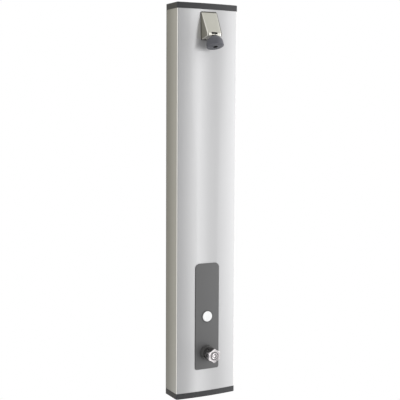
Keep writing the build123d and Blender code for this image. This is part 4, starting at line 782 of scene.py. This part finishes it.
nozzle = {
    "domeCentre": 8,
    "domeRadius": 25.9,
    "wall": 3,
    "rim": 8.1,
    "seat": 3.4,
    "recessRadius": 23.8,
    "bossRadius": 10.5,
    "boreRadius": 8,
    "bossEnd": 11.5,
    "seatRadius": 6.7,
    "openingRadius": 4.5225,        # of the neck's cone, at the ball's centre
    "openingSpread": 14,            # degrees
    "edge": 0.7,
    "domeSteps": 24,
    "innerSteps": 18,
    "seatSteps": 8,
    "steps": 128,
}
nozzlePlace = facing(ballMiddle, nozzleWay)


def coneMeets(height, radius):
    # where the opening's cone cuts a sphere centred on the axis: radius out, height along
    slope = tan(radians(nozzle["openingSpread"]))
    start = nozzle["openingRadius"]
    half = height + slope * start
    rise = (sqrt(half**2 - (1 + slope**2) * (height**2 + start**2 - radius**2)) - half) / (1 + slope**2)
    return start + slope * rise, -rise


seatEdge = coneMeets(0, nozzle["seatRadius"])
domeEdge = coneMeets(nozzle["domeCentre"], nozzle["domeRadius"])
domeEnd = nozzle["domeCentre"] + nozzle["rim"]
faceSeat = domeEnd - nozzle["seat"]
innerRadius = nozzle["domeRadius"] - nozzle["wall"]
bossRise = sqrt(innerRadius**2 - nozzle["bossRadius"]**2)
outerTurn = degrees(atan2(nozzle["domeCentre"] - domeEdge[1], domeEdge[0]))
innerTurn = degrees(atan2(bossRise, nozzle["bossRadius"]))
seatTurn = degrees(atan2(-seatEdge[1], seatEdge[0]))
dome = Turning(*seatEdge).line(*domeEdge)
dome.arc(0, nozzle["domeCentre"], outerTurn, nozzle["domeSteps"])
dome.line(nozzle["domeRadius"], domeEnd).line(nozzle["recessRadius"], domeEnd)
dome.line(nozzle["recessRadius"], faceSeat).line(innerRadius, faceSeat)
dome.line(innerRadius, nozzle["domeCentre"])
dome.arc(0, nozzle["domeCentre"], -innerTurn, nozzle["innerSteps"])
dome.line(nozzle["bossRadius"], nozzle["bossEnd"]).line(nozzle["boreRadius"], nozzle["bossEnd"])
dome.line(nozzle["boreRadius"], 0).line(nozzle["seatRadius"], 0)
dome.arc(0, 0, -seatTurn, nozzle["seatSteps"])
domeMesh = dome.spun(nozzle["steps"])
roundRings(domeMesh, nozzle["edge"], 3, nozzle["domeRadius"], domeEnd)
addPiece("nozzleShell", domeMesh, nozzlePlace, "nozzle", "nozzle_grey", ["nozzle_dome"])

sprayFace = {
    "radius": 23.7,
    "seat": 12.7,
    "thickness": 3,
    "crown": 1.6,
    "rings": {9.5: 8, 14.5: 14, 19.4: 20},     # radius of each raised ring, and its number of spray tips
    "ringHalf": 1.6,
    "ringHeight": 0.25,
    "ringSlope": 0.4,
    "tipRadius": 1.15,
    "tipNarrow": 0.85,
    "tipHeight": 0.9,
    "tipFoot": 0.2,                 # how deep a tip stands in its ring
    "tipBore": 0.4,
    "tipBoreDepth": 0.45,
    "tipSides": 14,
    "screwWell": 6.4,
    "wellFloor": 1.2,
    "steps": 120,
}
faceSphere = (sprayFace["radius"]**2 + sprayFace["crown"]**2) / (2 * sprayFace["crown"])


def crownHeight(radius):
    # height of the domed face above the joint ball's centre
    apex = sprayFace["seat"] + sprayFace["thickness"] + sprayFace["crown"]
    return apex + sqrt(faceSphere**2 - radius**2) - faceSphere


floorHeight = sprayFace["seat"] + sprayFace["wellFloor"]
plate = Turning(0, floorHeight).line(sprayFace["screwWell"], floorHeight)
plate.line(sprayFace["screwWell"], crownHeight(sprayFace["screwWell"]))
for ringRadius in sprayFace["rings"]:
    inner = ringRadius - sprayFace["ringHalf"]
    outer = ringRadius + sprayFace["ringHalf"]
    plate.line(inner - sprayFace["ringSlope"], crownHeight(inner))
    plate.line(inner, crownHeight(inner) + sprayFace["ringHeight"])
    plate.line(outer, crownHeight(outer) + sprayFace["ringHeight"])
    plate.line(outer + sprayFace["ringSlope"], crownHeight(outer))
plate.line(sprayFace["radius"], crownHeight(sprayFace["radius"]))
plate.line(sprayFace["radius"], sprayFace["seat"]).line(0, sprayFace["seat"])
plateMesh = plate.spun(sprayFace["steps"])
for ringRadius, count in sprayFace["rings"].items():
    foot = crownHeight(ringRadius) + sprayFace["ringHeight"] - sprayFace["tipFoot"]
    stand = Matrix.Translation((ringRadius, 0, foot + sprayFace["tipHeight"] / 2))
    for step in range(count):
        turn = Matrix.Rotation(2 * pi * step / count, 4, "Z")
        tip = bmesh.ops.create_cone(plateMesh, cap_ends=True, segments=sprayFace["tipSides"],
                                    radius1=sprayFace["tipRadius"], radius2=sprayFace["tipNarrow"],
                                    depth=sprayFace["tipHeight"], matrix=turn @ stand)
        top = max({face for vert in tip["verts"] for face in vert.link_faces},
                  key=lambda face: face.calc_center_median().z)
        bmesh.ops.inset_region(plateMesh, faces=[top],
                               thickness=sprayFace["tipNarrow"] - sprayFace["tipBore"], depth=0)
        bmesh.ops.translate(plateMesh, verts=top.verts, vec=(0, 0, -sprayFace["tipBoreDepth"]))
addPiece("sprayPlate", plateMesh, nozzlePlace, "nozzle", "nozzle_face_grey", ["nozzle_face"])


# Springs: round wire wound from the back to the front

springs = {
    # radius of coil and wire, turns, the joint that presses it, its travel in metres, the end that stays
    "buttonCoil": {"node": "button_spring", "radius": 7.4, "wire": 0.5, "turns": 4,
                   "joint": "button_press", "travel": 0.0020, "stays": "back"},
    "mixerCoil": {"node": "mixer_spring", "radius": 8, "wire": 0.6, "turns": 3,
                  "joint": "regulator_slide", "travel": 0.0015, "stays": "back"},
    "plungerCoil": {"node": "plunger_spring", "radius": 3.6, "wire": 0.4, "turns": 4,
                    "joint": "plunger_lift", "travel": 0.0025, "stays": "front"},
}
stepsPerTurn = 32
wireSides = 10
for name, spec in springs.items():
    low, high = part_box(spec["node"])
    length = (high.y - low.y) / mm
    steps = stepsPerTurn * spec["turns"]
    coil = bmesh.new()
    stand = Matrix.Translation((spec["radius"], 0, spec["wire"])) @ Matrix.Rotation(pi / 2, 4, "X")
    bmesh.ops.create_circle(coil, segments=wireSides, radius=spec["wire"], matrix=stand)
    bmesh.ops.spin(coil, geom=coil.verts[:] + coil.edges[:], cent=(0, 0, 0), axis=(0, 0, 1),
                   dvec=(0, 0, (length - 2 * spec["wire"]) / steps), angle=2 * pi * spec["turns"],
                   steps=steps)
    ends = [edge for edge in coil.edges if edge.is_boundary]
    bmesh.ops.holes_fill(coil, edges=ends, sides=0)
    middle = middleOf(spec["node"])
    piece = addPiece(name, coil, facing((middle.x, high.y, middle.z), (0, -1, 0)), "panel",
                     "spring_steel", [spec["node"]])
    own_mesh(piece)


# Studio: a pale floor, soft lamps, and plain grey cards that only reflections see

studio = {
    "floorDrop": 0.85,              # the panel's lower end hangs this far above the floor
    "floorRadius": 2.2,
    "floorSides": 96,
    "floorColour": (0.86, 0.86, 0.86, 1),
    "floorRoughness": 0.7,
    "roomLevel": 0.72,              # how strongly the white room lights the object
    "lampPower": 4,                 # watts a square metre at level 1
    "cardFade": (-1.5, 0.9),        # heights at which a card has its lower and its upper level
}
lamps = {
    # degrees round from straight in front, height and distance from the origin, size and level.
    # A matteOnly lamp doesn't show in reflections
    "keyBox": {"azimuth": 22, "height": -0.2, "distance": 3.2, "size": (0.34, 3.8), "level": 1.40},
    "edgeBox": {"azimuth": 56, "height": -0.2, "distance": 3.2, "size": (1.75, 3.8), "level": 1.34},
    "softFill": {"azimuth": 50, "height": 2.2, "distance": 2.6, "size": (1.6, 1.6), "level": 1.7,
                 "matteOnly": True},
}
cards = {
    # placed as the lamps are, with a card's upper and lower level and its tint
    "sideCard": {"azimuth": -152, "height": 0, "distance": 3.0, "size": (1.7, 4.4), "upper": 0.48,
                 "lower": 0.42, "tint": (1.0, 0.92, 0.62)},
    "frontCard": {"azimuth": -1.2, "height": 0, "distance": 3.0, "size": (1.98, 4.4), "upper": 0.03,
                  "lower": 0.03, "tint": (1.0, 0.95, 0.86)},
    "gapCard": {"azimuth": 33.5, "height": 0, "distance": 3.3, "size": (0.38, 4.4), "upper": 0.50,
                "lower": 0.80, "tint": (1.0, 1.0, 1.0)},
    "topCard": {"azimuth": 28, "height": 2.9, "distance": 1.45, "size": (1.6, 1.6), "upper": 0.52,
                "lower": 0.52, "tint": (1.0, 1.0, 0.93)},
}


def around(spec):
    turn = radians(spec["azimuth"])
    return Vector((sin(turn) * spec["distance"], -cos(turn) * spec["distance"], spec["height"]))


for name, spec in lamps.items():
    data = bpy.data.lights.new(name, "AREA")
    data.shape = "RECTANGLE"
    data.size, data.size_y = spec["size"]
    data.energy = studio["lampPower"] * spec["level"] * data.size * data.size_y
    lamp = bpy.data.objects.new(name, data)
    lamp.location = around(spec)
    lamp.rotation_euler = (-lamp.location).to_track_quat("-Z", "Y").to_euler()
    lamp.visible_camera = False
    lamp.visible_glossy = not spec.get("matteOnly", False)
    bpy.context.scene.collection.objects.link(lamp)

for name, spec in cards.items():
    bm = bmesh.new()
    bmesh.ops.create_grid(bm, x_segments=1, y_segments=1, size=0.5)      # a metre square
    bmesh.ops.scale(bm, verts=bm.verts, vec=(*spec["size"], 1))
    spot = around(spec)
    bm.transform(Matrix.Translation(spot) @ (-spot).to_track_quat("-Z", "Y").to_matrix().to_4x4())
    mesh = bpy.data.meshes.new(name)
    bm.to_mesh(mesh)
    bm.free()
    grey = Finish(name)
    lower, upper = (tuple(spec[end] * part for part in spec["tint"]) for end in ("lower", "upper"))
    shine = grey.blend(grey.height(*studio["cardFade"]), lower, upper)
    mesh.materials.append(grey.surface(Base_Color=(0, 0, 0, 1), Roughness=1.0, Emission_Color=shine,
                                       Emission_Strength=1.0, Specular_IOR_Level=0.0))
    card = bpy.data.objects.new(name, mesh)
    bpy.context.scene.collection.objects.link(card)
    for kind in ("camera", "diffuse", "transmission", "shadow"):
        setattr(card, "visible_" + kind, False)

floorMesh = bmesh.new()
bmesh.ops.create_circle(floorMesh, cap_ends=True, segments=studio["floorSides"],
                        radius=studio["floorRadius"],
                        matrix=Matrix.Translation((0, 0, cadBox[0][2] - studio["floorDrop"])))
mesh = bpy.data.meshes.new("floor")
floorMesh.to_mesh(mesh)
floorMesh.free()
paleFloor = Finish("paleFloor")
mesh.materials.append(paleFloor.surface(Base_Color=studio["floorColour"],
                                        Roughness=studio["floorRoughness"]))
floor = bpy.data.objects.new("floor", mesh)
bpy.context.scene.collection.objects.link(floor)

# The room is white to the camera and in reflections, and lights dull surfaces less strongly
world = bpy.data.worlds.new("whiteRoom")
world.use_nodes = True
bpy.context.scene.world = world
tree = world.node_tree
background = tree.nodes["Background"]
background.inputs["Color"].default_value = (1, 1, 1, 1)
path = tree.nodes.new("ShaderNodeLightPath")
seen = path.outputs["Is Camera Ray"]
for output in ("Is Glossy Ray", "Is Transmission Ray"):
    either = tree.nodes.new("ShaderNodeMath")
    either.operation = "MAXIMUM"
    tree.links.new(seen, either.inputs[0])
    tree.links.new(path.outputs[output], either.inputs[1])
    seen = either.outputs[0]
level = tree.nodes.new("ShaderNodeMapRange")
level.inputs["To Min"].default_value = studio["roomLevel"]
level.inputs["To Max"].default_value = 1
tree.links.new(seen, level.inputs["Value"])
tree.links.new(level.outputs[0], background.inputs["Strength"])
bpy.context.scene.view_settings.view_transform = "Standard"

view = {
    "from": (-1.3056, -2.4902, 0.2662),
    "at": (-0.005, -0.040, 0.0079),
    "roll": 0.3,                    # degrees
    "lens": 81.46,
    "sensor": 36,
}
cameraData = bpy.data.cameras.new("photoView")
cameraData.lens = view["lens"]
cameraData.sensor_width = view["sensor"]
camera = bpy.data.objects.new("photoView", cameraData)
camera.location = view["from"]
aim = (Vector(view["at"]) - camera.location).to_track_quat("-Z", "Y")
camera.rotation_euler = (aim @ Quaternion((0, 0, 1), radians(view["roll"]))).to_euler()
bpy.context.scene.collection.objects.link(camera)
bpy.context.scene.camera = camera
print("studio set")
